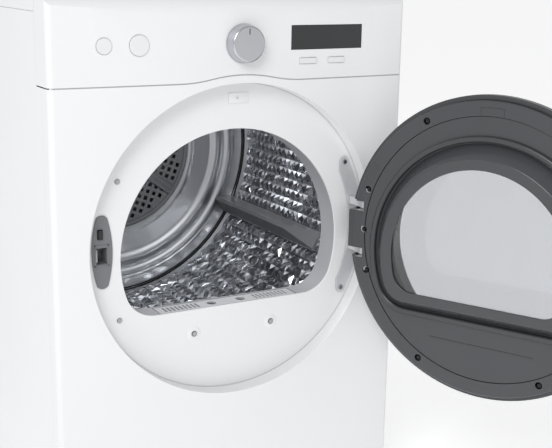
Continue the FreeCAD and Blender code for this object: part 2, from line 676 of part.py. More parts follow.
def rear_bulkhead():
    """Return the pressed rear wall of the drum space with its embossed rings and rim."""
    y0, y1 = at_depth(DRUM_REAR_DEPTH), at_depth(REAR_PLATE_BACK)
    reach = HALF - BULKHEAD_INSET
    bottom = FOOT_HEIGHT + BASE_WALL + JOINT_GAP
    plate = box(-reach, reach, y0, y1, bottom, SHOULDER_Z - 10)
    plate = plate.fuse(cyl_y(REAR_RIM_RADIUS + BULKHEAD_SHEET, y0, y1, 0, DRUM_Z))
    rim = tube_y(REAR_RIM_RADIUS + BULKHEAD_SHEET, REAR_RIM_RADIUS, y0 - REAR_RIM_LENGTH, y0, 0, DRUM_Z)
    rings = []
    for radius in REAR_RING_RADII:
        crest = DRUM_REAR_DEPTH - REAR_RING_HEIGHT
        rings.append(lathe_y(outline([(radius - REAR_RING_WIDTH, DRUM_REAR_DEPTH),
                                      ("arc", (radius, crest), (radius + REAR_RING_WIDTH, DRUM_REAR_DEPTH))]),
                             0, DRUM_Z))
    cuts = [cyl_y(AIR_HOLE_RADIUS, y0 - 1, y1 + 1, 0, DRUM_Z),
            cyl_y(EXHAUST_RADIUS + EXHAUST_HOLE_GAP, y0 - 1, y1 + 1, 0, DRIVE_Z)]
    cuts += [cyl_y(AXLE_RADIUS, y0 - 1, y1 + 1, side * ROLLER_X, ROLLER_Z) for side in (1, -1)]
    return plate.fuse([rim] + rings).cut(cuts)


def drum_felt_seals():
    """Return the felt bands inside the drum's lip in front and round its barrel at the rear."""
    y1 = at_depth(BULKHEAD_DEPTH + BULKHEAD_SHEET)
    y0 = at_depth(DRUM_REAR_DEPTH)
    front = tube_y(DRUM_LIP_RADIUS - FELT_GAP, BULKHEAD_RIM_RADIUS, y1, y1 + BULKHEAD_RIM_LENGTH - 3,
                   0, DRUM_Z)
    rear = tube_y(REAR_RIM_RADIUS, DRUM_OUTER + FELT_GAP, y0 - REAR_RIM_LENGTH + 2, y0 - 3, 0, DRUM_Z)
    return Part.makeCompound([front, rear])


def air_inlet_grille():
    """Return the round perforated plate that lets hot air into the drum."""
    y1 = at_depth(DRUM_REAR_DEPTH)
    y0 = y1 - GRILLE_THICKNESS
    disc = cyl_y(GRILLE_RADIUS, y0, y1, 0, DRUM_Z)
    pocket = cyl_y(AIR_HOLE_RADIUS, y0 + 2.5, y1 + 1, 0, DRUM_Z)
    hub = cyl_y(GRILLE_HUB, y0 - 4, y1, 0, DRUM_Z)
    half = GRILLE_HOLE / 2
    count = int(GRILLE_RADIUS / GRILLE_PITCH)
    edge = AIR_HOLE_RADIUS - GRILLE_HOLE
    holes = []
    for row in range(-count, count + 1):
        for column in range(-count, count + 1):
            x, z = column * GRILLE_PITCH, row * GRILLE_PITCH
            if GRILLE_HUB + GRILLE_HOLE < math.hypot(x, z) < edge:
                holes.append(box(x - half, x + half, y0 - 1, y0 + 4, DRUM_Z + z - half, DRUM_Z + z + half))
    cutter = Part.makeCompound(holes)
    cutter.rotate(Vector(0, 0, DRUM_Z), Vector(0, 1, 0), GRILLE_TURN)
    return disc.cut(pocket).cut(cutter).fuse(hub)


def drum_shell():
    """Return the drum: a barrel, open at the rear, with a turned-in front head and lip."""
    wall = DRUM_WALL
    lip_start = DRUM_HEAD_DEPTH - DRUM_LIP_LENGTH
    profile = outline([
        (DRUM_LIP_RADIUS, lip_start), (DRUM_LIP_RADIUS, DRUM_HEAD_DEPTH + wall),
        (DRUM_RADIUS, DRUM_HEAD_DEPTH + wall), (DRUM_RADIUS, DRUM_REAR_DEPTH - DRUM_END_GAP),
        (DRUM_OUTER, DRUM_REAR_DEPTH - DRUM_END_GAP), (DRUM_OUTER, DRUM_HEAD_DEPTH),
        (DRUM_LIP_RADIUS + wall, DRUM_HEAD_DEPTH), (DRUM_LIP_RADIUS + wall, lip_start),
    ])
    return lathe_y(profile, 0, DRUM_Z)


def lifter(angle):
    """Return one lifter: a ridge along the drum with a sloped, wider front end."""
    front = at_depth(LIFTER_FRONT_DEPTH)
    back = at_depth(DRUM_REAR_DEPTH - LIFTER_REAR_GAP)
    foot = LIFTER_HALF_WIDTH
    crest = LIFTER_CREST
    top = DRUM_RADIUS - LIFTER_HEIGHT

    def section(y, half_top, height):
        reach = DRUM_RADIUS + 10
        points = [(-foot, reach), (-foot, DRUM_RADIUS - 8), (-half_top, height), (half_top, height),
                  (foot, DRUM_RADIUS - 8), (foot, reach)]
        return Part.makePolygon([Vector(r, y, DRUM_Z + t) for t, r in points + points[:1]])

    wedge = Part.makeLoft([section(front, foot - 2, DRUM_RADIUS - 10),
                           section(front + LIFTER_RAMP, crest, top)], True, True)
    ridge = Part.makeLoft([section(front + LIFTER_RAMP, crest, top), section(back, crest, top)], True, True)
    solid = wedge.fuse(ridge).common(cyl_y(DRUM_RADIUS, front - 5, back + 5, 0, DRUM_Z))
    solid.rotate(Vector(0, 0, DRUM_Z), Vector(0, 1, 0), -angle)
    return solid


def drum_lifters():
    """Return the lifters, evenly spaced round the drum."""
    step = 360.0 / LIFTER_COUNT
    return Part.makeCompound([lifter(LIFTER_FIRST_ANGLE + step * k) for k in range(LIFTER_COUNT)])


def moisture_sensor_bars():
    """Return the two metal strips that feel how wet the load is."""
    y1 = at_depth(BULKHEAD_DEPTH + BULKHEAD_SHEET)
    return Part.makeCompound([box(-62, 62, y1, y1 + 2.5, z, z + 7) for z in (378.0, 398.0)])


def drum_light_lens():
    """Return the drum lamp's round lens on the front bulkhead."""
    depth = BULKHEAD_DEPTH + BULKHEAD_SHEET
    profile = outline([(0, depth), (16, depth), (16, depth + 2),
                       ("arc", (9.5, depth + 6.5), (POLE_FLAT, depth + 8)), (0, depth + 8)])
    return lathe_y(profile, 110, DRUM_Z + 200)


# ---------------------------------------------------------------- rollers, belt, motor and blower
def drum_roller(side, depth):
    """Return a support roller with a bore that runs on its axle."""
    x = side * ROLLER_X
    y0 = at_depth(depth)
    wheel = cyl_y(ROLLER_RADIUS, y0, y0 + ROLLER_WIDTH, x, ROLLER_Z)
    hub = cyl_y(10, y0 - 2, y0 + ROLLER_WIDTH + 2, x, ROLLER_Z)
    bore = cyl_y(AXLE_RADIUS + AXLE_CLEARANCE, y0 - 5, y0 + ROLLER_WIDTH + 5, x, ROLLER_Z)
    return wheel.fuse(hub).cut(bore)


def roller_axles():
    """Return the four roller axles with the collars that keep the rollers on."""
    axles = []
    front0 = BULKHEAD_DEPTH
    front1 = FRONT_ROLLER_DEPTH + ROLLER_WIDTH
    rear0 = REAR_ROLLER_DEPTH
    for side in (1, -1):
        x = side * ROLLER_X
        front = cyl_y(AXLE_RADIUS, at_depth(front0), at_depth(front1 + 8), x, ROLLER_Z)
        front = front.fuse(cyl_y(9, at_depth(front1 + 3), at_depth(front1 + 5), x, ROLLER_Z))
        rear = cyl_y(AXLE_RADIUS, at_depth(rear0 - 8), at_depth(REAR_PLATE_BACK), x, ROLLER_Z)
        rear = rear.fuse(cyl_y(9, at_depth(rear0 - 5), at_depth(rear0 - 3), x, ROLLER_Z))
        axles += [front, rear]
    return Part.makeCompound(axles)


def turned(vector, angle):
    """Return a plane vector (x, z) turned by an angle in radians."""
    c, s = math.cos(angle), math.sin(angle)
    return (vector[0] * c - vector[1] * s, vector[0] * s + vector[1] * c)


def belt_wire(offset):
    """Return the belt's loop, moved outwards by offset from its middle line.

    Each wheel is (x, z, radius of the middle line, turn), where turn is 1 for a wheel inside the
    loop and -1 for the idler, which presses on the belt's back.
    """
    stand = BELT_GAP + BELT_THICKNESS / 2
    wheels = [
        (0.0, DRUM_Z, DRUM_OUTER + stand, 1),
        (IDLER_X, IDLER_Z, IDLER_RADIUS + stand, -1),
        (DRIVE_X, DRIVE_Z, PULLEY_RADIUS + stand, 1),
    ]
    y = at_depth(BELT_DEPTH)
    count = len(wheels)
    leaves, arrives = [None] * count, [None] * count
    for k in range(count):
        nxt = (k + 1) % count
        x0, z0, r0, s0 = wheels[k]
        x1, z1, r1, s1 = wheels[nxt]
        signed0 = s0 * r0 + offset
        signed1 = s1 * r1 + offset
        reach = (x1 - x0, z1 - z0)
        span = math.hypot(*reach)
        skew = signed1 - signed0
        along = turned((reach[0] / span, reach[1] / span), -math.asin(skew / span))
        normal = turned(along, math.pi / 2)
        leaves[k] = (x0 - signed0 * normal[0], z0 - signed0 * normal[1])
        arrives[nxt] = (x1 - signed1 * normal[0], z1 - signed1 * normal[1])
    edges = []
    for k, (x, z, _, sense) in enumerate(wheels):
        start = math.atan2(arrives[k][1] - z, arrives[k][0] - x)
        end = math.atan2(leaves[k][1] - z, leaves[k][0] - x)
        radius = math.hypot(arrives[k][0] - x, arrives[k][1] - z)
        sweep = (end - start) % (2 * math.pi) if sense > 0 else -((start - end) % (2 * math.pi))
        middle = start + sweep / 2
        via = Vector(x + radius * math.cos(middle), y, z + radius * math.sin(middle))
        first = Vector(arrives[k][0], y, arrives[k][1])
        last = Vector(leaves[k][0], y, leaves[k][1])
        after = arrives[(k + 1) % count]
        edges.append(Part.Arc(first, via, last).toShape())
        edges.append(Part.makeLine(last, Vector(after[0], y, after[1])))
    return Part.Wire(edges)


def drum_belt():
    """Return the flat belt round the drum, the idler's back and the motor pulley."""
    half = BELT_THICKNESS / 2
    outer = Part.Face(belt_wire(half)).extrude(Vector(0, BELT_WIDTH, 0))
    return outer.cut(Part.Face(belt_wire(-half)).extrude(Vector(0, BELT_WIDTH, 0)))


def motor():
    """Return the motor's body with its end caps and cradle."""
    y0, y1 = at_depth(MOTOR_DEPTH[0]), at_depth(MOTOR_DEPTH[1])
    floor = FOOT_HEIGHT + 2 * SHEET
    body = cyl_y(MOTOR_RADIUS, y0 + 12, y1 - 12, DRIVE_X, DRIVE_Z)
    caps = [cone_y(MOTOR_RADIUS - 14, MOTOR_RADIUS, y0, y0 + 12, DRIVE_X, DRIVE_Z),
            cone_y(MOTOR_RADIUS, MOTOR_RADIUS - 14, y1 - 12, y1, DRIVE_X, DRIVE_Z)]
    foot = box(DRIVE_X - 72, DRIVE_X + 72, y0, y1 + 50, floor, floor + 3)
    stands = [box(DRIVE_X - 40, DRIVE_X + 40, y, y + 4, floor, DRIVE_Z) for y in (y0 + 4, y1 - 8)]
    post = box(IDLER_PIVOT_X - 12, IDLER_PIVOT_X + 12, y1 + 42, y1 + 46, floor, IDLER_PIVOT_Z + 12)
    pivot = cyl_y(6, at_depth(IDLER_ARM_DEPTH - 2), y1 + 42, IDLER_PIVOT_X, IDLER_PIVOT_Z)
    bore = cyl_y(SHAFT_RADIUS + AXLE_CLEARANCE, y0 - 5, y1 + 5, DRIVE_X, DRIVE_Z)
    return body.fuse(caps + [foot] + stands + [post, pivot]).cut(bore)


def motor_shaft():
    """Return the motor shaft with its belt pulley at the rear."""
    start = BLOWER_DEPTH[0] - 2
    end = BELT_DEPTH + BELT_WIDTH + 4
    shaft = cyl_y(SHAFT_RADIUS, at_depth(start), at_depth(end), DRIVE_X, DRIVE_Z)
    pulley = cyl_y(PULLEY_RADIUS, at_depth(BELT_DEPTH - 2), at_depth(end), DRIVE_X, DRIVE_Z)
    lips = [cyl_y(PULLEY_RADIUS + 4, at_depth(d), at_depth(d + 1.5), DRIVE_X, DRIVE_Z)
            for d in (BELT_DEPTH - 3.5, end - 1.5)]
    return shaft.fuse([pulley] + lips)


def blower_wheel():
    """Return the squirrel-cage fan: a back disc, curved blades and a front ring."""
    y0, y1 = at_depth(BLOWER_DEPTH[0]), at_depth(BLOWER_DEPTH[1])
    disc = cyl_y(BLOWER_RADIUS, y1 - 3, y1, DRIVE_X, DRIVE_Z)
    ring = tube_y(BLOWER_RADIUS, BLOWER_RADIUS - 18, y0, y0 + 2.5, DRIVE_X, DRIVE_Z)
    hub = cyl_y(SHAFT_RADIUS + 7, y0 + 8, y1, DRIVE_X, DRIVE_Z)
    blades = []
    count = 18
    for k in range(count):
        blade = box(-1.2, 1.2, y0 + 1, y1 - 1, BLOWER_RADIUS - 19, BLOWER_RADIUS - 1)
        blade.rotate(Vector(0, 0, BLOWER_RADIUS - 10), Vector(0, 1, 0), 30)
        blade.rotate(Vector(0, 0, 0), Vector(0, 1, 0), 360.0 / count * k)
        blade.translate(Vector(DRIVE_X, 0, DRIVE_Z))
        blades.append(blade)
    bore = cyl_y(SHAFT_RADIUS, y0 - 5, y1 + 5, DRIVE_X, DRIVE_Z)
    return disc.fuse([ring, hub] + blades).cut(bore)


def blower_housing():
    """Return the scroll round the fan, with its inlet in front and its outlet to the exhaust duct."""
    y0, y1 = at_depth(HOUSING_DEPTH[0]), at_depth(HOUSING_DEPTH[1])
    wall = HOUSING_WALL
    scroll = cyl_y(HOUSING_RADIUS, y0, y1, DRIVE_X, DRIVE_Z)
    out_half = EXHAUST_RADIUS + 4
    scroll = scroll.fuse(box(-out_half, DRIVE_X, y0, y1, DRIVE_Z - out_half, DRIVE_Z + out_half))
    hollow = cyl_y(HOUSING_RADIUS - wall, y0 + wall, y1 - wall, DRIVE_X, DRIVE_Z)
    hollow = hollow.fuse(box(-out_half + wall, DRIVE_X, y0 + wall, y1 - wall,
                             DRIVE_Z - out_half + wall, DRIVE_Z + out_half - wall))
    cuts = [cyl_y(LINT_INLET_RADIUS, y0 - 1, y0 + wall + 1, DRIVE_X, DRIVE_Z),
            cyl_y(SHAFT_RADIUS + 2, y1 - wall - 1, y1 + 1, DRIVE_X, DRIVE_Z),
            cyl_y(EXHAUST_RADIUS - EXHAUST_WALL, y1 - wall - 1, y1 + 1, 0, DRIVE_Z)]
    return scroll.cut(hollow).cut(cuts)


def exhaust_duct():
    """Return the round duct from the blower out through the rear panel, with its stop bead."""
    duct = tube_y(EXHAUST_RADIUS, EXHAUST_RADIUS - EXHAUST_WALL, at_depth(HOUSING_DEPTH[1]),
                  REAR_Y + EXHAUST_STUB, 0, DRIVE_Z)
    bead_end = REAR_Y - SHEET - EXHAUST_BEAD_GAP
    bead = tube_y(EXHAUST_RADIUS + EXHAUST_BEAD, EXHAUST_RADIUS - EXHAUST_WALL / 2,
                  bead_end - EXHAUST_BEAD_LENGTH, bead_end, 0, DRIVE_Z)
    return duct.fuse(bead)


def idler_arm():
    """Return the arm that swings the idler pulley against the belt."""
    y0 = at_depth(IDLER_ARM_DEPTH)
    y1 = y0 + IDLER_ARM_THICKNESS
    run = Vector(IDLER_X - IDLER_PIVOT_X, 0, IDLER_Z - IDLER_PIVOT_Z)
    side = Vector(-run.z, 0, run.x).normalize() * 7
    a = Vector(IDLER_PIVOT_X, 0, IDLER_PIVOT_Z)
    b = Vector(IDLER_X, 0, IDLER_Z)
    corners = [a + side, b + side, b - side, a - side]
    bar = prism_xz([(p.x, p.z) for p in corners], y0, y1)
    ends = [cyl_y(12, y0, y1, a.x, a.z), cyl_y(8, y0, y1, b.x, b.z)]
    axle = cyl_y(AXLE_RADIUS, at_depth(BELT_DEPTH - 5), y0, b.x, b.z)
    bore = cyl_y(6 + AXLE_CLEARANCE, y0 - 5, y1 + 20, a.x, a.z)
    return bar.fuse(ends + [axle]).cut(bore)


def idler_pulley():
    """Return the flat idler pulley, free to turn on the arm's axle."""
    y0 = at_depth(BELT_DEPTH - 3)
    y1 = at_depth(BELT_DEPTH + BELT_WIDTH + 3)
    wheel = cyl_y(IDLER_RADIUS, y0, y1, IDLER_X, IDLER_Z)
    return wheel.cut(cyl_y(AXLE_RADIUS + AXLE_CLEARANCE, y0 - 1, y1 + 1, IDLER_X, IDLER_Z))


def idler_spring():
    """Return the coil spring on the idler's pivot, as its coils side by side."""
    wire = 1.2
    start = at_depth(MOTOR_DEPTH[1] + 42)
    coils = [Part.makeTorus(9.5, wire, Vector(IDLER_PIVOT_X, start - wire - 2 * wire * k, IDLER_PIVOT_Z),
                            Vector(0, 1, 0)) for k in range(3)]
    return Part.makeCompound(coils)


# ---------------------------------------------------------------- heater
def heater_duct():
    """Return the sheet duct that leads hot air up the back of the rear bulkhead."""
    y0 = at_depth(REAR_PLATE_BACK)
    y1 = y0 + HEATER_PAN_DEPTH
    wall = HEATER_SHEET
    half = HEATER_CHANNEL_HALF
    bottom = HEATER_CHANNEL_BOTTOM
    outside = cyl_y(HEATER_PAN_RADIUS, y0, y1, 0, DRUM_Z).fuse(box(-half, half, y0, y1, bottom, DRUM_Z))
    inside = cyl_y(HEATER_PAN_RADIUS - wall, y0 - 1, y1 - wall, 0, DRUM_Z)
    inside = inside.fuse(box(-half + wall, half - wall, y0 - 1, y1 - wall, bottom - 1, DRUM_Z))
    return outside.cut(inside)


def heater_element():
    """Return the heating rods strung between two insulator blocks in the duct."""
    y_mid = at_depth(REAR_PLATE_BACK) + HEATER_PAN_DEPTH / 2
    half = HEATER_CHANNEL_HALF - HEATER_SHEET
    z0 = HEATER_CHANNEL_BOTTOM + 20
    height = 20.0 * HEATER_ROD_COUNT
    blocks = [box(x, x + 10, y_mid - 12, y_mid + 12, z0, z0 + height) for x in (-half, half - 10)]
    rods = [Part.makeCylinder(HEATER_ROD_RADIUS, 2 * half - 10, Vector(-half + 5, y_mid, z0 + 10 + 20 * k),
                              Vector(1, 0, 0)) for k in range(HEATER_ROD_COUNT)]
    return blocks[0].fuse([blocks[1]] + rods)


# ---------------------------------------------------------------- lint filter
def lint_duct():
    """Return the flat duct from under the opening down to the blower's inlet."""
    wall = LINT_DUCT_WALL
    y0 = at_depth(FLOOR_BACK + 1)
    y1 = at_depth(BULKHEAD_DEPTH)
    top = SHELF_Z - COLLAR_WALL - FILTER_TOP
    half = FILTER_HALF_WIDTH + FILTER_CLEARANCE + wall + 4
    bottom = DRIVE_Z - LINT_INLET_RADIUS - 8
    shoulder = top - FILTER_HEIGHT - 20
    right = DRIVE_X + LINT_INLET_RADIUS + 8
    left = DRIVE_X - LINT_INLET_RADIUS - 8
    outer = [(-half, top), (-half, shoulder), (left, bottom + 60), (left, bottom), (right, bottom),
             (right, shoulder - 60), (half, shoulder), (half, top)]
    inner = [(-half + wall, top + 1), (-half + wall, shoulder), (left + wall, bottom + 60 + wall),
             (left + wall, bottom + wall), (right - wall, bottom + wall), (right - wall, shoulder - 60),
             (half - wall, shoulder), (half - wall, top + 1)]
    duct = prism_xz(outer, y0, y1).cut(prism_xz(inner, y0 + wall, y1 - wall))
    spigot = tube_y(LINT_INLET_RADIUS + 1.5, LINT_INLET_RADIUS - 1.5, y1 - wall, at_depth(HOUSING_DEPTH[0]),
                    DRIVE_X, DRIVE_Z)
    cuts = [cyl_y(LINT_INLET_RADIUS - 1.5, y1 - wall - 1, y1 + 5, DRIVE_X, DRIVE_Z)]
    cuts += [cyl_y(SCREW_SHANK_RADIUS, y0 - 1, y0 + wall + 1, x, DOOR_Z + z)
             for x, z, _ in recess_screw_places()]
    return duct.fuse(spigot).cut(cuts)


def filter_slots():
    """Return the fine slots through the filter's top on both sides of the finger holes."""
    y0, y1 = at_depth(FILTER_DEPTH[0] + 4), at_depth(FILTER_DEPTH[1] - 4)
    slots = []
    for side in (1, -1):
        for k in range(FILTER_SLOT_COUNT):
            x = side * (60 + 8 * k)
            slots.append(box(x - 2, x + 2, y0, y1, SHELF_Z - 20, SHELF_Z + 5))
    return slots


def lint_filter_frame():
    """Return the lint filter's frame: a topped box with large windows for the mesh."""
    y0, y1 = at_depth(FILTER_DEPTH[0]), at_depth(FILTER_DEPTH[1])
    half = FILTER_HALF_WIDTH
    wall = FILTER_WALL
    top = SHELF_Z - 0.5
    under = top - FILTER_TOP
    bottom = under - FILTER_HEIGHT
    body = box(-half, half, y0 + 2, y1 - 2, bottom, under)
    hollow = box(-half + wall, half - wall, y0 + 2 + wall, y1 - 2 - wall, bottom + wall, under + 1)
    plate = box(-half - 3, half + 3, y0 - 2, y1 + 2, under, top)
    windows = []
    bays = 4
    pitch = 2 * half / bays
    for k in range(bays):
        x0 = -half + pitch * k + 5
        windows.append(box(x0, x0 + pitch - 10, y0, y1, bottom + 12, under - 12))
    fingers = [cyl_z(FILTER_FINGER_RADIUS, under - 1, top + 1, side * FILTER_FINGER_X, (y0 + y1) / 2)
               for side in (1, -1)]
    frame = body.cut(hollow).cut(windows)
    return frame.fuse(plate).cut(fingers + filter_slots())


def lint_filter_screen():
    """Return the two mesh sheets inside the filter's frame."""
    y0, y1 = at_depth(FILTER_DEPTH[0]) + 2 + FILTER_WALL, at_depth(FILTER_DEPTH[1]) - 2 - FILTER_WALL
    under = SHELF_Z - 0.5 - FILTER_TOP
    z0, z1 = under - FILTER_HEIGHT + 4, under - 4
    half = FILTER_HALF_WIDTH - FILTER_WALL
    sheets = [box(-half, half, y0, y0 + 0.6, z0, z1), box(-half, half, y1 - 0.6, y1, z0, z1)]
    return Part.makeCompound(sheets)


# ---------------------------------------------------------------- latch and hinge
def pocket_box(limits, depth0, depth1, margin=0.0):
    """Return the space of a pocket given by (x0, x1, z0, z1) about the door's centre height."""
    x0, x1, z0, z1 = limits
    return box(x0 - margin, x1 + margin, at_depth(depth0), at_depth(depth1),
               DOOR_Z + z0 - margin, DOOR_Z + z1 + margin)


def latch_plate():
    """Return the latch: a lens-shaped plate with a hook pocket and a switch pocket behind it."""
    y = at_depth(RECESS_DEPTH - LATCH_THICKNESS)
    z = DOOR_Z + LATCH_Z
    height, mid, end = LATCH_HALF_HEIGHT, LATCH_MID_HALF_WIDTH, LATCH_END_HALF_WIDTH
    corner = [Vector(LATCH_X + sx * end, y, z + sz * (height - end * 0.5)) for sx, sz in
              ((-1, 1), (1, 1), (1, -1), (-1, -1))]
    edges = [
        Part.Arc(corner[3], Vector(LATCH_X - mid, y, z), corner[0]).toShape(),
        Part.Arc(corner[0], Vector(LATCH_X, y, z + height), corner[1]).toShape(),
        Part.Arc(corner[1], Vector(LATCH_X + mid, y, z), corner[2]).toShape(),
        Part.Arc(corner[2], Vector(LATCH_X, y, z - height), corner[3]).toShape(),
    ]
    plate = Part.Face(Part.Wire(edges)).extrude(Vector(0, LATCH_THICKNESS, 0))
    wells, spaces = [], []
    for limits in (HOOK_POCKET, SWITCH_POCKET):
        wells.append(pocket_box(limits, RECESS_DEPTH - LATCH_THICKNESS, RECESS_DEPTH + POCKET_DEPTH, 1.5))
        spaces.append(pocket_box(limits, RECESS_DEPTH - LATCH_THICKNESS - 1,
                                 RECESS_DEPTH + POCKET_DEPTH - 1.5))
    return plate.fuse(wells).cut(spaces)


def door_switch_plunger():
    """Return the switch plunger that the closed door would press in."""
    x0, x1, z0, z1 = SWITCH_POCKET
    gap = PLUNGER_GAP
    limits = (x0 + gap, x1 - gap, z0 + gap, z1 - gap)
    return pocket_box(limits, RECESS_DEPTH - LATCH_THICKNESS - PLUNGER_PROUD, RECESS_DEPTH + 12)


def arm_heights():
    """Return the middle height of each hinge arm."""
    return [DOOR_Z + HINGE_Z + side * HINGE_ARM_OFFSET for side in (1, -1)]


def hinge_bracket():
    """Return the bracket on the recess floor with the two arms that carry the hinge pins."""
    inner, outer = HINGE_PLATE_RADII
    y0, y1 = at_depth(RECESS_DEPTH - HINGE_PLATE), at_depth(RECESS_DEPTH)
    reach = HINGE_SCREW_OFFSET - 16
    strip = tube_y(outer, inner, y0, y1, 0, DOOR_Z)
    strip = strip.common(box(150, 300, y0, y1, DOOR_Z - reach, DOOR_Z + reach))
    pieces = []
    for side in (1, -1):
        z = DOOR_Z + side * HINGE_SCREW_OFFSET
        pieces.append(cyl_y(10, y0, y1, HINGE_SCREW_X, z))
        neck = [(HINGE_SCREW_X - 10, z), (HINGE_SCREW_X + 10, z),
                (outer * math.cos(math.asin(reach / outer)) - 0.5, DOOR_Z + side * reach),
                (inner * math.cos(math.asin(reach / inner)) + 0.5, DOOR_Z + side * reach)]
        pieces.append(prism_xz(neck, y0, y1))
    half_w, half_h = HINGE_ARM_WIDTH / 2, HINGE_ARM_HEIGHT / 2
    y_pin = at_depth(HINGE_DEPTH)
    for z in arm_heights():
        pieces.append(box(HINGE_X - half_w, HINGE_X + half_w, y_pin, y0 + 0.5, z - half_h, z + half_h))
        pieces.append(cyl_z(HINGE_EYE_RADIUS, z - half_h, z + half_h, HINGE_X, y_pin))
    bores = [cyl_z(HINGE_PIN_RADIUS + HINGE_PIN_CLEARANCE, z - half_h - 1, z + half_h + 1, HINGE_X, y_pin)
             for z in arm_heights()]
    holes = [screw_hole_y(HINGE_SCREW_X, 0, RECESS_DEPTH + 5, DOOR_Z + side * HINGE_SCREW_OFFSET)
             for side in (1, -1)]
    return strip.fuse(pieces).cut(bores + holes)


def cabinet_screws():
    """Return the screws of the door recess and the rear panel."""
    screws = [screw_y(x, seat, DOOR_Z + z) for x, z, seat in recess_screw_places()]
    for x, z in rear_screw_places():
        head = cyl_y(SCREW_HEAD_RADIUS, REAR_Y, REAR_Y + SCREW_HEAD_HEIGHT, x, z)
        screws.append(head.fuse(cyl_y(SCREW_SHANK_RADIUS, REAR_Y - SCREW_SHANK_LENGTH, REAR_Y, x, z)))
    return Part.makeCompound(screws)


def terminal_cover():
    """Return the cover over the mains terminals on the rear panel."""
    z0 = CORD_Z + CORD_HOLE_RADIUS + 14
    outside = box(CORD_X - TERMINAL_HALF_WIDTH, CORD_X + TERMINAL_HALF_WIDTH, REAR_Y,
                  REAR_Y + TERMINAL_DEPTH, z0, z0 + TERMINAL_HEIGHT)
    inside = box(CORD_X - TERMINAL_HALF_WIDTH + SHEET, CORD_X + TERMINAL_HALF_WIDTH - SHEET, REAR_Y - 1,
                 REAR_Y + TERMINAL_DEPTH - SHEET, z0 + SHEET, z0 + TERMINAL_HEIGHT - SHEET)
    return outside.cut(inside)


# ---------------------------------------------------------------- door, drawn closed
def hinge_slots():
    """Return the space round each hinge arm that the door's rim and shell leave free."""
    slots = []
    half = HINGE_ARM_HEIGHT / 2 + 2
    for z in arm_heights():
        slots.append(box(HINGE_X - HINGE_SLOT_INSIDE, HINGE_X + 30, at_depth(HINGE_DEPTH - 26),
                         at_depth(DOOR_RIM_FACE + 5), z - half, z + half))
    return slots


def door_screw_wells(radius):
    """Return the round wells that the door's screws sit in."""
    return [screw_hole_y(x, DOOR_RIM_FACE - DOOR_WALL - 5, DOOR_RIM_FACE + 5, DOOR_Z + z, radius)
            for x, z in DOOR_SCREWS]


def door_inner_frame():
    """Return the door's rim: a round channel that faces the recess."""
    r, wall, face = DOOR_RIM_RADIUS, DOOR_WALL, DOOR_RIM_FACE
    profile = outline([(DOOR_RIM_INNER, face), (r - 1.5, face), (r, face - 1.5), (r, DOOR_SHELL_BACK - 3),
                       (r - wall, DOOR_SHELL_BACK - 3), (r - wall, face - wall),
                       (DOOR_RIM_INNER, face - wall)])
    half = HINGE_ARM_OFFSET - HINGE_ARM_HEIGHT / 2 - 2
    tab = box(r - wall - 1, HINGE_TAB_X, at_depth(DOOR_SHELL_BACK + PART_GAP), at_depth(face - 0.3),
              DOOR_Z + HINGE_Z - half, DOOR_Z + HINGE_Z + half)
    tab = tab.cut(cyl_y(r - wall, at_depth(DOOR_SHELL_BACK - 5), at_depth(face + 5), 0, DOOR_Z))
    rim = lathe_y(profile, 0, DOOR_Z).fuse(tab)
    return rim.cut(hinge_slots() + door_screw_wells(SCREW_HEAD_RADIUS + 1.5))


def door_bezel():
    """Return the inner panel: a disc that rises to a D-shaped frame round the glass."""
    base, crown_d, sight = DShape(*BEZEL_BASE), DShape(*BEZEL_CROWN), DShape(*GLASS_SIGHT)
    wall = DOOR_WALL
    face = DOOR_RIM_FACE - 1.4
    disc = cyl_y(DOOR_RIM_INNER - PART_GAP, at_depth(face - wall), at_depth(face), 0, DOOR_Z)
    shoulder = BEZEL_DEPTH - BEZEL_SHOULDER
    side = crown_d.grown(BEZEL_SHOULDER * 0.6)
    hump = d_loft(base, face - wall, side, shoulder)
    hump = hump.fuse(d_loft(side, shoulder, crown_d.grown(-BEZEL_SHOULDER * 0.6), BEZEL_DEPTH))
    hollow = d_loft(base.grown(-wall), face - wall - 0.1, crown_d.grown(-wall), BEZEL_DEPTH - wall)
    cuts = [hollow, sight.prism(0, BEZEL_DEPTH + 5)]
    return disc.fuse(hump).cut(cuts).cut(door_screw_wells(SCREW_HEAD_RADIUS + 1.5) + hinge_slots())


def door_inner_glass():
    """Return the glass pane behind the bezel."""
    back = BEZEL_DEPTH - DOOR_WALL
    return DShape(*GLASS_SIGHT).grown(9).prism(back - DOOR_GLASS_THICKNESS, back)


def door_gasket():
    """Return the soft gasket that seals round the opening."""
    return d_ring(DShape(*GASKET_INNER), GASKET_WIDTH, DOOR_RIM_FACE - 1.4,
                  DOOR_RIM_FACE - 1.4 + GASKET_HEIGHT)


def door_outer_ring():
    """Return the door's outer shell: a rounded ring with a barrel round the window."""
    r, w, front = DOOR_SHELL_RADIUS, DOOR_WINDOW_RADIUS, DOOR_SHELL_FRONT
    seat = DOOR_RIM_RADIUS + PART_GAP
    back = DOOR_SHELL_BACK
    profile = outline([
        (seat, back), (r - 1, back), (r, back - 1), (r, back - 12),
        ("arc", (r - 7, front + 13), (r - 24, front + 4)),
        (w + 14, front), (w, front + 2), (w, DOOR_BARREL_BACK), (w + 3, DOOR_BARREL_BACK), (w + 3, front + 6),
        (w + 14, front + 3), (r - 24.5, front + 7),
        ("arc", (r - 9.2, front + 15.4), (r - 3, back - 12)),
        (r - 3, back - 3), (seat, back - 3),
    ])
    return lathe_y(profile, 0, DOOR_Z).cut(hinge_slots())


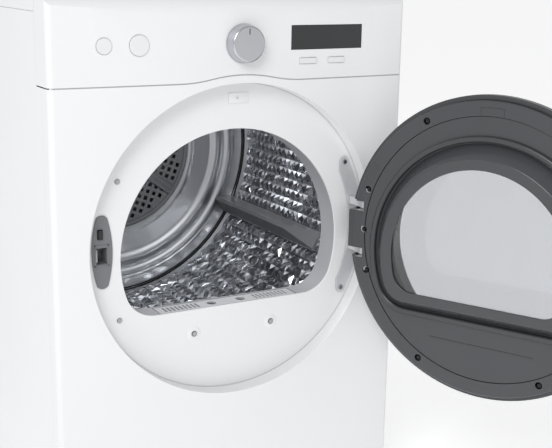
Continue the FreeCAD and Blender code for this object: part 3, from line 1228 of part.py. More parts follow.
def door_outer_window():
    """Return the door's outer window, slightly domed."""
    r = DOOR_WINDOW_RADIUS - PART_GAP
    edge = DOOR_SHELL_FRONT + 2
    bulge = DOOR_WINDOW_BULGE
    thick = DOOR_GLASS_THICKNESS
    half_bulge = bulge * 0.75
    flat = POLE_FLAT
    profile = outline([
        (0, edge - bulge), (flat, edge - bulge), ("arc", (r / 2, edge - half_bulge), (r, edge)),
        (r, edge + thick), ("arc", (r / 2, edge + thick - half_bulge), (flat, edge + thick - bulge)),
        (0, edge + thick - bulge),
    ])
    return lathe_y(profile, 0, DOOR_Z)


def door_latch_hook():
    """Return the latch hook on the door's free edge."""
    _, _, z0, z1 = HOOK_POCKET
    middle = (z0 + z1) / 2 + DOOR_Z
    face, tip = at_depth(DOOR_RIM_FACE), at_depth(RECESS_DEPTH + 18)
    base = box(LATCH_X - 8, LATCH_X + 8, face, face + 2, middle - 16, middle + 16)
    tongue = box(LATCH_X - 1, LATCH_X + 4, face, tip, middle - 9, middle + 9)
    barb = box(LATCH_X + 4, LATCH_X + 6, tip - 8, tip, middle - 9, middle + 9)
    return base.fuse([tongue, barb])


def door_hinge_leaf():
    """Return the steel leaf inside the rim with its lugs and hinge pins."""
    y_pin = at_depth(HINGE_DEPTH)
    y1 = at_depth(DOOR_RIM_FACE - DOOR_WALL)
    y0 = y1 - 2.5
    z_mid = DOOR_Z + HINGE_Z
    plate = box(HINGE_X - 26, HINGE_X + 12, y0, y1, z_mid - 78, z_mid + 78)
    plate = plate.cut(cyl_y(DOOR_RIM_INNER + PART_GAP, y0 - 1, y1 + 1, 0, DOOR_Z))
    pieces = []
    gap = HINGE_ARM_HEIGHT / 2 + 2.5
    for z in arm_heights():
        for side in (1, -1):
            near, far = z + side * gap, z + side * (gap + 4)
            low, high = min(near, far), max(near, far)
            pieces.append(box(HINGE_X - 7, HINGE_X + 7, y_pin, y0 + 0.5, low, high))
            pieces.append(cyl_z(7, low, high, HINGE_X, y_pin))
    inside_rim = cyl_y(DOOR_RIM_RADIUS - DOOR_WALL - PART_GAP, y_pin - 20, y1 + 1, 0, DOOR_Z)
    leaf = plate.fuse(pieces).common(inside_rim).cut(hinge_slots() + door_screw_wells(SCREW_HOLE_RADIUS))
    pins = [cyl_z(HINGE_PIN_RADIUS, z - gap - 6, z + gap + 6, HINGE_X, y_pin) for z in arm_heights()]
    return leaf.fuse(pins)


def door_screws():
    """Return the screws that hold the rim and the hinge leaf."""
    seat = DOOR_RIM_FACE - DOOR_WALL
    screws = []
    for x, z in DOOR_SCREWS:
        head = cyl_y(SCREW_HEAD_RADIUS, at_depth(seat), at_depth(seat + SCREW_HEAD_HEIGHT), x, DOOR_Z + z)
        shank = cyl_y(SCREW_SHANK_RADIUS, at_depth(seat - 8), at_depth(seat), x, DOOR_Z + z)
        screws.append(head.fuse(shank))
    return Part.makeCompound(screws)


def swung_open(shape):
    """Return a door piece turned from its closed place to the open rest pose."""
    opened = shape.copy()
    opened.rotate(Vector(HINGE_X, at_depth(HINGE_DEPTH), 0), Vector(0, 0, 1), DOOR_OPEN_ANGLE)
    return opened


def door_nodes():
    """Return the door's pieces in the open rest pose."""
    makers = (door_inner_frame, door_bezel, door_inner_glass, door_gasket, door_outer_ring,
              door_outer_window, door_latch_hook, door_hinge_leaf, door_screws)
    return {maker.__name__: swung_open(maker()) for maker in makers}


def cabinet_nodes():
    """Return the fixed pieces and the small moving pieces of the cabinet."""
    makers = (base_pan, rear_panel, top_cover, front_panel, control_panel, display_window, control_board,
              cycle_knob, front_collar, front_bulkhead, rear_bulkhead, drum_felt_seals,
              air_inlet_grille, drum_shell, drum_lifters, moisture_sensor_bars, drum_light_lens,
              roller_axles, drum_belt, motor, motor_shaft, blower_wheel, blower_housing, exhaust_duct,
              idler_arm, idler_pulley, idler_spring, heater_duct, heater_element, lint_duct,
              lint_filter_frame, lint_filter_screen, latch_plate, door_switch_plunger, hinge_bracket,
              cabinet_screws, terminal_cover)
    nodes = {maker.__name__: maker() for maker in makers}
    nodes["right_side_panel"] = side_panel()
    nodes["left_side_panel"] = mirrored(side_panel())
    nodes["power_button"] = round_button(POWER_X, POWER_RADIUS)
    nodes["start_button"] = round_button(START_X, START_RADIUS)
    for k, x in enumerate(OPTION_X, start=1):
        nodes[f"option_button_{k}"] = option_button(x)
    for name, x, y in foot_places():
        nodes[name] = levelling_foot(x, y)
    for row, depth in (("front", FRONT_ROLLER_DEPTH), ("rear", REAR_ROLLER_DEPTH)):
        for name, side in (("left", -1), ("right", 1)):
            nodes[f"{row}_roller_{name}"] = drum_roller(side, depth)
    return nodes


def main():
    """Build every piece and write one STEP file for each node."""
    os.makedirs("parts", exist_ok=True)
    nodes = {**cabinet_nodes(), **door_nodes()}
    for name, shape in sorted(nodes.items()):
        if not shape.isValid() or shape.Volume <= 0:
            raise ValueError(f"{name} is not a valid solid")
        shape.exportStep(f"parts/{name}.step")
        print(f"{name}: {len(shape.Solids)} solid(s), {shape.Volume / 1000:.1f} cm3")
    print(len(nodes), "nodes")


main()
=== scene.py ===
"""A clothes dryer with its door open: finishes, fine detail, studio light and camera.

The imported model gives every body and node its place.  Each class below is one sub-assembly: it reads
its places from the frame, builds the detail that the plain solids lack and dresses every node.
"""

import logging
import math
from dataclasses import dataclass, field
from enum import Enum

import bmesh
import bpy
import numpy as np
from mathutils import Matrix, Vector

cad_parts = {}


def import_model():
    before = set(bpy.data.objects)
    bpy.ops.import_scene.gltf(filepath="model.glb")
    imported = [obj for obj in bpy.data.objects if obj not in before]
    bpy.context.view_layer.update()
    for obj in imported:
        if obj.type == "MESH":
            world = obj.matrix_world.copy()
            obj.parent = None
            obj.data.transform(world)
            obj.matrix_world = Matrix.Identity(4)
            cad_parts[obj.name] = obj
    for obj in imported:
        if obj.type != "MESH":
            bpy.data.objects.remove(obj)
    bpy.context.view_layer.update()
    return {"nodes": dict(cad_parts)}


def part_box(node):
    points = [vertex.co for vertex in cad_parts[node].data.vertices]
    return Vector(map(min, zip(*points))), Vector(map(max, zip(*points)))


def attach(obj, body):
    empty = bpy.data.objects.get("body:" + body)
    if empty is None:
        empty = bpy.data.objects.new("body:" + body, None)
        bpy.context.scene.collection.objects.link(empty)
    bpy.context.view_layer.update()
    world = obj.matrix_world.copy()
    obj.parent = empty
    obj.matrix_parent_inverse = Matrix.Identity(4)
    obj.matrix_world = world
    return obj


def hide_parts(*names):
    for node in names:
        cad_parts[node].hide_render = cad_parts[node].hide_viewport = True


log = logging.getLogger("dryer")
MM = 0.001
AXIS_Z = 0.625
DOOR_Z = 0.555
FRONT_Y = -0.360
SHEET = 1.2 * MM
HINGE = Vector((0.252, -0.3735, 0.0))
OPEN_TURN = math.radians(116.5)


# ---------------------------------------------------------------- colour and shader nodes
def linear(hex_colour: str) -> tuple[float, float, float, float]:
    """Turn an sRGB hex colour into linear RGBA.

    Args:
        hex_colour: a colour such as "#F4F5F6".

    Returns:
        Linear red, green and blue with alpha 1.
    """
    values = [int(hex_colour[k:k + 2], 16) / 255 for k in (1, 3, 5)]
    rgb = [v / 12.92 if v <= 0.04045 else ((v + 0.055) / 1.055) ** 2.4 for v in values]
    return (rgb[0], rgb[1], rgb[2], 1.0)


def add(tree: bpy.types.NodeTree, kind: str, inputs: dict | None = None, **settings) -> bpy.types.Node:
    """Add one node with its settings, and give its inputs a value or a link.

    Args:
        tree: the node tree that gets the node.
        kind: the node's type name.
        inputs: socket name or number to a value, or to the socket that feeds it.
        settings: properties of the node itself.

    Returns:
        The new node.
    """
    node = tree.nodes.new(kind)
    for name, value in settings.items():
        setattr(node, name, value)
    for key, value in (inputs or {}).items():
        socket = node.inputs[key]
        if isinstance(value, bpy.types.NodeSocket):
            tree.links.new(value, socket)
        else:
            socket.default_value = value
    return node


# ---------------------------------------------------------------- finishes
class Surface(Enum):
    """How a surface was made, which decides the fine texture that it shows."""

    ENAMEL = "sprayed and fired"
    MOULDED = "injection moulded with a fine grain"
    POLISHED = "smooth"
    BRUSHED = "drawn along the machine's depth"
    SPUN = "turned about the drum's axis"
    GALVANISED = "hot-dip zinc with spangle"
    RUBBER = "moulded rubber"
    FELT = "pressed wool fibre"
    WOVEN = "woven screen"
    CAST = "cast or painted iron"
    BOARD = "printed circuit board"


@dataclass(frozen=True)
class Finish:
    """One real finish: what it is made of, how it was made and what that gives the eye.

    Attributes:
        name: the name of the material, and in most cases the record's slot.
        surface: how it was made.
        colour: main sRGB colour.
        second: the colour that it drifts to, as real batches and soiling do.
        roughness: middle value of the roughness.
        spread: how far the roughness wanders from it.
        metallic: 1 for bare metal.
        ior: index of refraction; metals keep the usual 1.5.
        coat: weight of a clear top layer.
        transmission: 1 for glass.
        grain: size of the fine texture in mm.
        relief: height of the fine texture in mm.
        drift: size of the colour drift in mm.
        axis_z: height of the turning axis in metres, for a spun surface.
        slot: the record's material slot, where it isn't the name; not used.
    """

    name: str
    surface: Surface
    colour: str
    second: str
    roughness: float = 0.4
    spread: float = 0.05
    metallic: float = 0.0
    ior: float = 1.5
    coat: float = 0.0
    transmission: float = 0.0
    grain: float = 1.5
    relief: float = 0.02
    drift: float = 120.0
    axis_z: float = 0.0
    slot: str = ""

    def pattern(self, tree: bpy.types.NodeTree, place: bpy.types.NodeSocket) -> bpy.types.NodeSocket:
        """Build the fine texture, 0 to 1.

        Args:
            tree: the material's node tree.
            place: Object coordinates in metres.

        Returns:
            The socket with the texture's height.
        """
        scale = 1.0 / (self.grain * MM)
        kind = self.surface
        if kind is Surface.BRUSHED:
            stretched = add(tree, "ShaderNodeMapping", {"Vector": place, "Scale": (1.0, 0.02, 1.0)})
            return add(tree, "ShaderNodeTexNoise", {"Vector": stretched.outputs[0], "Scale": scale,
                                                    "Detail": 3.0}).outputs[0]
        if kind is Surface.SPUN:
            centred = add(tree, "ShaderNodeMapping", {"Vector": place, "Location": (0, 0, -self.axis_z),
                                                      "Scale": (1.0, 0.0, 1.0)})
            radius = add(tree, "ShaderNodeVectorMath", {0: centred.outputs[0]}, operation="LENGTH")
            return add(tree, "ShaderNodeTexNoise", {"W": radius.outputs["Value"], "Scale": scale,
                                                    "Detail": 3.0}, noise_dimensions="1D").outputs[0]
        if kind is Surface.GALVANISED:
            return add(tree, "ShaderNodeTexVoronoi", {"Vector": place, "Scale": scale,
                                                      "Randomness": 1.0}).outputs["Color"]
        if kind is Surface.WOVEN:
            threads = [add(tree, "ShaderNodeTexWave", {"Vector": place, "Scale": scale / math.tau * 3.14159},
                           wave_type="BANDS", bands_direction=axis, wave_profile="SIN").outputs[1]
                       for axis in ("X", "Z")]
            return add(tree, "ShaderNodeMath", {0: threads[0], 1: threads[1]}, operation="MAXIMUM").outputs[0]
        if kind is Surface.BOARD:
            return add(tree, "ShaderNodeTexBrick", {"Vector": place, "Scale": scale, "Color1": (1, 1, 1, 1),
                                                    "Color2": (0.6, 0.6, 0.6, 1), "Mortar": (0, 0, 0, 1),
                                                    "Mortar Size": 0.04}).outputs[0]
        if kind is Surface.FELT:
            return add(tree, "ShaderNodeTexNoise", {"Vector": place, "Scale": scale, "Detail": 8.0,
                                                    "Roughness": 0.75, "Distortion": 1.5}).outputs[0]
        return add(tree, "ShaderNodeTexNoise", {"Vector": place, "Scale": scale, "Detail": 4.0,
                                                "Roughness": 0.6}).outputs[0]

    def painted_seam_shade(self, tree: bpy.types.NodeTree, paint: bpy.types.NodeSocket) -> bpy.types.NodeSocket:
        """Darken a colour towards near black where ambient occlusion finds seams and parts fixed on: painted
        shade.

        Args:
            tree: the material's node tree.
            paint: the colour's socket.

        Returns:
            The socket with the darkened colour.
        """
        # Painted shade: ambient occlusion within 3.5 mm mixes the colour towards near black in seams and
        # round fixed parts.
        near = add(tree, "ShaderNodeAmbientOcclusion", {"Distance": 3.5 * MM}, samples=6).outputs["AO"]
        unshaded_share = add(tree, "ShaderNodeMapRange", {0: near, 1: 0.25, 2: 0.9, 3: 0.42, 4: 1.0}).outputs[0]
        return add(tree, "ShaderNodeMix", {0: unshaded_share, 6: (0.02, 0.02, 0.021, 1.0), 7: paint},
                   data_type="RGBA").outputs[2]

    def build(self) -> bpy.types.Material:
        """Build the material, once, and return it."""
        made = bpy.data.materials.get(self.name + "_finish")
        if made:
            return made
        made = bpy.data.materials.new(self.name + "_finish")
        made.use_nodes = True
        tree = made.node_tree
        tree.nodes.clear()
        place = add(tree, "ShaderNodeTexCoord").outputs["Object"]
        drift = add(tree, "ShaderNodeTexNoise", {"Vector": place, "Scale": 1.0 / (self.drift * MM),
                                                 "Detail": 2.0}).outputs[0]
        fine = self.pattern(tree, place)
        share = add(tree, "ShaderNodeMix", {0: 0.45, 2: drift, 3: fine}, data_type="FLOAT").outputs[0]
        paint = add(tree, "ShaderNodeMix", {0: share, 6: linear(self.colour), 7: linear(self.second)},
                    data_type="RGBA").outputs[2]
        # Enamel, moulded and cast finishes get the painted shade in their seams and round what is fixed on.
        if self.surface in (Surface.ENAMEL, Surface.MOULDED, Surface.CAST):
            paint = self.painted_seam_shade(tree, paint)
        rough = add(tree, "ShaderNodeMapRange", {0: share, 1: 0.3, 2: 0.7,
                                                 3: max(self.roughness - self.spread, 0.02),
                                                 4: self.roughness + self.spread}).outputs[0]
        bump = add(tree, "ShaderNodeBump", {"Height": fine, "Strength": 1.0,
                                            "Distance": self.relief * MM}).outputs[0]
        shader = add(tree, "ShaderNodeBsdfPrincipled", {
            "Base Color": paint, "Roughness": rough, "Metallic": self.metallic, "IOR": self.ior,
            "Coat Weight": self.coat, "Coat Roughness": 0.08, "Transmission Weight": self.transmission,
            "Normal": bump})
        if self.surface is Surface.FELT:
            shader.inputs["Sheen Weight"].default_value = 0.4
        add(tree, "ShaderNodeOutputMaterial", {"Surface": shader.outputs[0]})
        return made


FINISHES = {finish.name: finish for finish in (
    # Powder enamel on steel sheet: a glossy white with a faint orange peel.
    Finish("white_enamel", Surface.ENAMEL, "#E9EAEB", "#E4E5E7", 0.34, 0.03, grain=3.0, relief=0.006,
           drift=300),
    # Gloss ABS moulding for the control panel.
    Finish("white_fascia", Surface.MOULDED, "#E8E9EA", "#E3E4E6", 0.30, 0.03, grain=1.6, relief=0.004),
    # Galvanised steel sheet: dull grey with crystals about 12 mm across.
    Finish("zinc_steel", Surface.GALVANISED, "#A7ABAE", "#8F9397", 0.42, 0.08, 1.0, grain=12, relief=0.01),
    # Stainless drum sheet, bright annealed and pressed: mirror-like facets with soft edges.
    Finish("stainless_drum", Surface.POLISHED, "#D0D1D4", "#B9BBBE", 0.10, 0.03, 1.0, grain=4.0,
           relief=0.003),
    # Stainless rear wall, spun: fine rings about the drum's axis.
    Finish("stainless_rear", Surface.SPUN, "#C4C6C9", "#B9BBBF", 0.37, 0.02, 1.0, grain=9.0, relief=0.0004,
           axis_z=AXIS_Z),
    # Drawn aluminium duct.
    Finish("duct_aluminium", Surface.BRUSHED, "#B9BCC0", "#A6A9AD", 0.34, 0.08, 1.0, grain=2.0, relief=0.01),
    # Polypropylene sleeve round the opening, moulded with a matt grain.
    Finish("grey_plastic", Surface.MOULDED, "#A6A7AA", "#9D9EA1", 0.5, 0.05, grain=1.8, relief=0.03),
    # Glass-filled nylon grille, dark and satin.
    Finish("grille_plastic", Surface.MOULDED, "#6C6E71", "#636568", 0.36, 0.06, grain=1.8, relief=0.02),
    Finish("filter_plastic", Surface.MOULDED, "#C2C3C6", "#B7B8BB", 0.46, 0.05, grain=1.8, relief=0.03),
    # Woven polyester lint screen, drawn at 2 mm because the real 0.3 mm mesh is too fine to show.
    Finish("filter_mesh", Surface.WOVEN, "#D8D9DB", "#6F7073", 0.6, 0.05, grain=2.0, relief=0.2),
    # Dark grey ABS of the door's inside, satin with a fine grain.
    Finish("door_grey", Surface.MOULDED, "#45474A", "#3F4144", 0.24, 0.04, grain=1.6, relief=0.012),
    Finish("door_shell_grey", Surface.MOULDED, "#424447", "#3C3E41", 0.24, 0.04, grain=1.6, relief=0.01),
    # Tempered soda-lime glass, slightly grey.
    Finish("clear_glass", Surface.POLISHED, "#DFE0E2", "#DBDCDE", 0.03, 0.01, ior=1.52, transmission=1.0,
           grain=60, relief=0.01),
    Finish("window_glass", Surface.POLISHED, "#E9EAEC", "#E4E6E8", 0.04, 0.01, ior=1.49, transmission=1.0,
           grain=80, relief=0.01),
    # Black display glass of the control panel.
    Finish("display_glass", Surface.POLISHED, "#101113", "#16181B", 0.06, 0.02, coat=0.4, grain=40,
           relief=0.002),
    Finish("black_rubber", Surface.RUBBER, "#222325", "#2A2B2D", 0.6, 0.08, grain=1.6, relief=0.04),
    Finish("roller_rubber", Surface.RUBBER, "#2C2C2E", "#39393B", 0.65, 0.08, grain=1.4, relief=0.05),
    Finish("foot_rubber", Surface.RUBBER, "#242527", "#303133", 0.66, 0.08, grain=1.4, relief=0.05),
    # Pressed wool felt that the drum's ends run on.
    Finish("felt", Surface.FELT, "#C9C5BA", "#A8A397", 0.9, 0.05, grain=2.5, relief=0.4),
    # Hinge bracket and leaf: pale silver lacquer that lets a little of the metal through.
    Finish("hinge_steel", Surface.CAST, "#D8DADC", "#D0D2D5", 0.34, 0.05, 0.3, grain=1.6, relief=0.01),
    Finish("leaf_steel", Surface.CAST, "#E8E9EB", "#DEDFE2", 0.32, 0.05, 0.3, grain=1.6, relief=0.01),
    Finish("screw_steel", Surface.POLISHED, "#B5B8BB", "#9A9DA0", 0.28, 0.06, 1.0, grain=0.8, relief=0.01),
    # Door screws, coloured near black as painted shade for the deep wells that their heads sit in.
    Finish("screw_black", Surface.POLISHED, "#2A2B2D", "#1E1F21", 0.3, 0.06, 0.6, grain=0.8, relief=0.01,
           slot="screw_steel"),
    Finish("latch_plastic", Surface.MOULDED, "#77787B", "#6E6F72", 0.44, 0.05, grain=1.5, relief=0.02),
    Finish("black_plastic", Surface.MOULDED, "#1B1C1E", "#232426", 0.45, 0.06, grain=1.6, relief=0.02),
    Finish("duct_plastic", Surface.MOULDED, "#C3C5C7", "#B4B6B9", 0.5, 0.05, grain=1.8, relief=0.02),
    Finish("fan_plastic", Surface.MOULDED, "#3A3C3F", "#45474A", 0.48, 0.05, grain=1.8, relief=0.02),
    Finish("motor_iron", Surface.CAST, "#4C4F53", "#3C3F43", 0.5, 0.08, 0.7, grain=1.5, relief=0.05),
    Finish("shaft_steel", Surface.BRUSHED, "#B7BABD", "#A3A6AA", 0.25, 0.06, 1.0, grain=1.0, relief=0.01),
    # Glass-fibre board: green lacquer over copper tracks about 6 mm apart.
    Finish("board_green", Surface.BOARD, "#17472E", "#1F6541", 0.4, 0.05, grain=30, relief=0.05),
    Finish("button_plastic", Surface.POLISHED, "#E4E5E7", "#DCDDDF", 0.3, 0.04, grain=1.6, relief=0.004),
    Finish("knob_metal", Surface.BRUSHED, "#C9CBCE", "#B9BBBF", 0.26, 0.05, 1.0, grain=0.8, relief=0.01),
    Finish("heater_ceramic", Surface.CAST, "#D9D2C3", "#BFB6A3", 0.7, 0.06, grain=1.5, relief=0.05),
    Finish("sensor_steel", Surface.BRUSHED, "#D3D5D7", "#C2C4C7", 0.22, 0.05, 1.0, grain=1.0, relief=0.01),
    # Frosted lens over the drum's lamp.
    Finish("lamp_glass", Surface.POLISHED, "#F1F0EA", "#E9E7DE", 0.35, 0.05, ior=1.5, transmission=0.7,
           grain=2.0, relief=0.05),
)}


# ---------------------------------------------------------------- mesh helpers
def piece(name: str, mesh: bpy.types.Mesh, finish: str, body: str, *nodes: str) -> bpy.types.Object:
    """Put a finished mesh in the scene on its body.

    Args:
        name: the piece's name.
        mesh: a closed mesh in metres in the shared frame.
        finish: the material slot whose finish it takes.
        body: the body that it rides on.
        nodes: the solids that it stands for, if any.

    Returns:
        The new object.
    """
    made = bpy.data.objects.new(name, mesh)
    bpy.context.scene.collection.objects.link(made)
    made.data.materials.clear()
    made.data.materials.append(FINISHES[finish].build())
    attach(made, body)
    if nodes:
        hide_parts(*nodes)
    log.info("%s: %d faces on %s", name, len(made.data.polygons), body)
    return made


def smooth(mesh: bpy.types.Mesh, angle: float = 35.0) -> bpy.types.Mesh:
    """Shade a mesh smooth, but for edges sharper than the angle in degrees, and return it."""
    mesh.shade_smooth()
    mesh.set_sharp_from_angle(angle=math.radians(angle))
    return mesh


def to_mesh(name: str, work: bmesh.types.BMesh) -> bpy.types.Mesh:
    """Turn a bmesh into a mesh, free it and return the mesh."""
    mesh = bpy.data.meshes.new(name)
    work.to_mesh(mesh)
    work.free()
    return mesh


def merged(node: str) -> bmesh.types.BMesh:
    """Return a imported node's shape with its split corners merged."""
    work = bmesh.new()
    work.from_mesh(bpy.data.objects[node].data)
    bmesh.ops.remove_doubles(work, verts=work.verts, dist=2e-6)
    return work


def from_bmesh(name: str, work: bmesh.types.BMesh, angle: float = 35.0) -> bpy.types.Mesh:
    """Turn a bmesh into a smooth mesh whose faces point outwards.

    Args:
        name: the mesh's name.
        work: the bmesh, which is freed.
        angle: edges sharper than this stay sharp.

    Returns:
        The mesh.
    """
    bmesh.ops.remove_doubles(work, verts=work.verts, dist=1e-6)
    bmesh.ops.recalc_face_normals(work, faces=work.faces)
    return smooth(to_mesh(name, work), angle)


def lathe(profile: list[tuple[float, float]], centre_z: float, steps: int = 180,
          centre_x: float = 0.0) -> bmesh.types.BMesh:
    """Turn a closed outline about the machine's depth axis.

    Args:
        profile: (radius, y) corners in metres, in order round the section.
        centre_z: height of the axis in metres.
        steps: facets round the circle.
        centre_x: place of the axis across the machine in metres.

    Returns:
        A closed ring.
    """
    work = bmesh.new()
    rings = []
    for k in range(steps):
        turn = math.tau * k / steps
        rings.append([work.verts.new((centre_x + r * math.sin(turn), y, centre_z + r * math.cos(turn)))
                      for r, y in profile])
    count = len(profile)
    for k in range(steps):
        here, there = rings[k], rings[(k + 1) % steps]
        for j in range(count):
            work.faces.new((here[j], here[(j + 1) % count], there[(j + 1) % count], there[j]))
    return work


def moved(work: bmesh.types.BMesh, matrix: Matrix) -> bmesh.types.BMesh:
    """Move a shape by a matrix and return it."""
    bmesh.ops.transform(work, matrix=matrix, verts=work.verts)
    return work


def block(low: tuple, high: tuple, round_edge: float = 0.0) -> bmesh.types.BMesh:
    """Return a box with rounded edges.

    Args:
        low: its lowest corner in metres.
        high: its highest corner in metres.
        round_edge: radius of its edges in metres.

    Returns:
        The closed box.
    """
    work = bmesh.new()
    size = Vector(high) - Vector(low)
    middle = (Vector(high) + Vector(low)) / 2
    bmesh.ops.create_cube(work, size=1.0, matrix=Matrix.Translation(middle) @ Matrix.Diagonal((*size, 1.0)))
    if round_edge:
        bmesh.ops.bevel(work, geom=work.edges[:], offset=round_edge, segments=3, profile=0.5, affect="EDGES")
    return work


def joined(name: str, parts: list[bpy.types.Mesh | bmesh.types.BMesh], angle: float = 35.0) -> bpy.types.Mesh:
    """Put several closed shapes in one mesh.

    Args:
        name: the new mesh's name.
        parts: the shapes, which are used up.
        angle: edges sharper than this stay sharp.

    Returns:
        The mesh.
    """
    whole = bmesh.new()
    for part in parts:
        if isinstance(part, bmesh.types.BMesh):
            bmesh.ops.recalc_face_normals(part, faces=part.faces)
            part = to_mesh("part", part)
        whole.from_mesh(part)
        bpy.data.meshes.remove(part)
    return smooth(to_mesh(name, whole), angle)


def loose_parts(node: str) -> list[tuple[Vector, Vector]]:
    """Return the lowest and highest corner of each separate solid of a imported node."""
    work = merged(node)
    seen = set()
    found = []
    for start in work.verts:
        if start in seen:
            continue
        group = [start]
        seen.add(start)
        for vert in group:
            for edge in vert.link_edges:
                other = edge.other_vert(vert)
                if other not in seen:
                    seen.add(other)
                    group.append(other)
        places = np.array([v.co for v in group])
        found.append((Vector(places.min(0)), Vector(places.max(0))))
    work.free()
    return sorted(found, key=lambda pair: tuple(round(c, 5) for c in pair[0]))


def finished_copy(node: str, bevel: float = 0.0, angle: float = 30.0) -> bpy.types.Mesh:
    """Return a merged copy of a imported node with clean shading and, if asked, softened edges.

    Args:
        node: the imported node.
        bevel: width of the softened edge in mm, or 0.
        angle: edges sharper than this stay sharp or are softened.

    Returns:
        The new mesh.
    """
    work = merged(node)
    bmesh.ops.dissolve_limit(work, angle_limit=math.radians(0.3), verts=work.verts, edges=work.edges)
    mesh = to_mesh(node + "_finished", work)
    if "custom_normal" in mesh.attributes:
        mesh.attributes.remove(mesh.attributes["custom_normal"])
    smooth(mesh, angle)
    holder = bpy.data.objects.new("holder", mesh)
    bpy.context.scene.collection.objects.link(holder)
    if bevel:
        soft = holder.modifiers.new("soften", "BEVEL")
        soft.width = bevel * MM
        soft.segments = 2
        soft.limit_method = "ANGLE"
        soft.angle_limit = math.radians(angle)
        soft.use_clamp_overlap = True
    holder.modifiers.new("even", "WEIGHTED_NORMAL").keep_sharp = True
    made = bpy.data.meshes.new_from_object(holder.evaluated_get(bpy.context.evaluated_depsgraph_get()))
    bpy.data.objects.remove(holder)
    return made


def refine(node: str, body: str, finish: str, bevel: float = 0.0, angle: float = 30.0) -> bpy.types.Object:
    """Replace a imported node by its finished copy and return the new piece."""
    return piece(node + "_finished", finished_copy(node, bevel, angle), finish, body, node)


# ---------------------------------------------------------------- sub-assemblies
@dataclass
class Drum:
    """The turning drum: its pressed sheet and its lifters.

    Attributes:
        wall: inner radius of the barrel in metres.
        rows: pressed pyramids round the barrel.
        pitch: length of one pyramid along the drum in mm.
        rise: height of a pyramid in mm.
        flat_front: plain band at the drum's front in mm.
        flat_rear: plain band at its rear in mm.
    """

    wall: float = 0.330
    rows: int = 98
    pitch: float = 19.5
    rise: float = 3.8
    flat_front: float = 18.0
    flat_rear: float = 9.0

    def pressing_tree(self) -> bpy.types.NodeTree:
        """Build the tree that presses a field of pyramids and rolls it into the barrel."""
        tree, given = opened_tree("drum_pressing", {
            "Radius": "Float", "Start": "Float", "Length": "Float", "Rise": "Float", "Axis height": "Float",
            "Rows": "Int", "Columns": "Int", "Seed": "Int", "Finish": "Material"})

        def maths(operation: str, *values) -> bpy.types.NodeSocket:
            """Add one Math node and return its result."""
            return add(tree, "ShaderNodeMath", dict(enumerate(values)), operation=operation).outputs[0]

        rows_more = maths("ADD", given["Rows"], 1.0)
        columns_more = maths("ADD", given["Columns"], 1.0)
        grid = add(tree, "GeometryNodeMeshGrid", {"Size X": given["Rows"], "Size Y": given["Columns"],
                                                  "Vertices X": rows_more, "Vertices Y": columns_more})

        def place() -> list[bpy.types.NodeSocket]:
            """Return the three parts of the place that a point has at this step."""
            here = add(tree, "GeometryNodeInputPosition").outputs[0]
            return add(tree, "ShaderNodeSeparateXYZ", {0: here}).outputs

        parts = place()
        row = maths("ROUND", maths("ADD", parts[0], maths("MULTIPLY", given["Rows"], 0.5)))
        column = maths("ADD", parts[1], maths("MULTIPLY", given["Columns"], 0.5))
        inside = maths("MULTIPLY", maths("GREATER_THAN", column, 0.5),
                       maths("LESS_THAN", column, maths("SUBTRACT", given["Columns"], 0.5)))
        zigzag = maths("MULTIPLY", maths("MULTIPLY", maths("MODULO", row, 2.0), 0.5), inside)
        shift = add(tree, "ShaderNodeCombineXYZ", {1: zigzag}).outputs[0]
        field_set = add(tree, "GeometryNodeSetPosition", {"Geometry": grid.outputs[0], "Offset": shift})
        end = maths("SUBTRACT", maths("MULTIPLY", given["Columns"], 0.5), 1.0)
        pressed = maths("LESS_THAN", maths("ABSOLUTE", place()[1]), end)
        pulled = add(tree, "GeometryNodeExtrudeMesh", {"Mesh": field_set.outputs[0], "Selection": pressed,
                                                       "Offset Scale": 1.0, "Individual": True}, mode="FACES")
        peak = add(tree, "GeometryNodeScaleElements", {"Geometry": pulled.outputs[0],
                                                       "Selection": pulled.outputs[1], "Scale": 0.06})
        wander = add(tree, "FunctionNodeRandomValue", {0: (-0.34, -0.34, -0.5), 1: (0.34, 0.34, 0.3),
                                                       "Seed": given["Seed"]}, data_type="FLOAT_VECTOR")
        spread = add(tree, "GeometryNodeFieldOnDomain", {0: wander.outputs[0]}, data_type="FLOAT_VECTOR",
                     domain="FACE")
        peaks = add(tree, "GeometryNodeSetPosition", {"Geometry": peak.outputs[0],
                                                      "Selection": pulled.outputs[1],
                                                      "Offset": spread.outputs[0]})
        flat = place()
        turn = maths("MULTIPLY", maths("DIVIDE", flat[0], given["Rows"]), math.tau)
        reach = maths("SUBTRACT", given["Radius"], maths("MULTIPLY", flat[2], given["Rise"]))
        along = maths("DIVIDE", maths("ADD", flat[1], maths("MULTIPLY", given["Columns"], 0.5)),
                      given["Columns"])
        rolled = add(tree, "ShaderNodeCombineXYZ", {
            0: maths("MULTIPLY", reach, maths("SINE", turn)),
            1: maths("ADD", given["Start"], maths("MULTIPLY", along, given["Length"])),
            2: maths("ADD", given["Axis height"], maths("MULTIPLY", reach, maths("COSINE", turn)))})
        barrel = add(tree, "GeometryNodeSetPosition", {"Geometry": peaks.outputs[0],
                                                       "Position": rolled.outputs[0]})
        merged = add(tree, "GeometryNodeMergeByDistance", {"Geometry": barrel.outputs[0],
                                                           "Distance": 0.00001})
        return closed_tree(tree, merged.outputs[0], given["Finish"])

    def pressing(self) -> bpy.types.Mesh:
        """Press the field of pyramids that lines the barrel and return it."""
        low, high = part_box("drum_shell")
        start = low.y + 8.8 * MM + self.flat_front * MM
        length = high.y - self.flat_rear * MM - start
        values = {"Radius": self.wall - 0.0001, "Start": start, "Length": length, "Rise": self.rise * MM,
                  "Axis height": AXIS_Z, "Rows": self.rows, "Columns": round(length / (self.pitch * MM)),
                  "Seed": 7, "Finish": FINISHES["stainless_drum"].build()}
        return grown_by(self.pressing_tree(), values, "drum_pressing")

    def build(self) -> None:
        """Build the drum's pieces."""
        refine("drum_shell", "drum", "stainless_drum")
        piece("drum_pressing", self.pressing(), "stainless_drum", "drum")
        refine("drum_lifters", "drum", "grille_plastic", bevel=2.0)


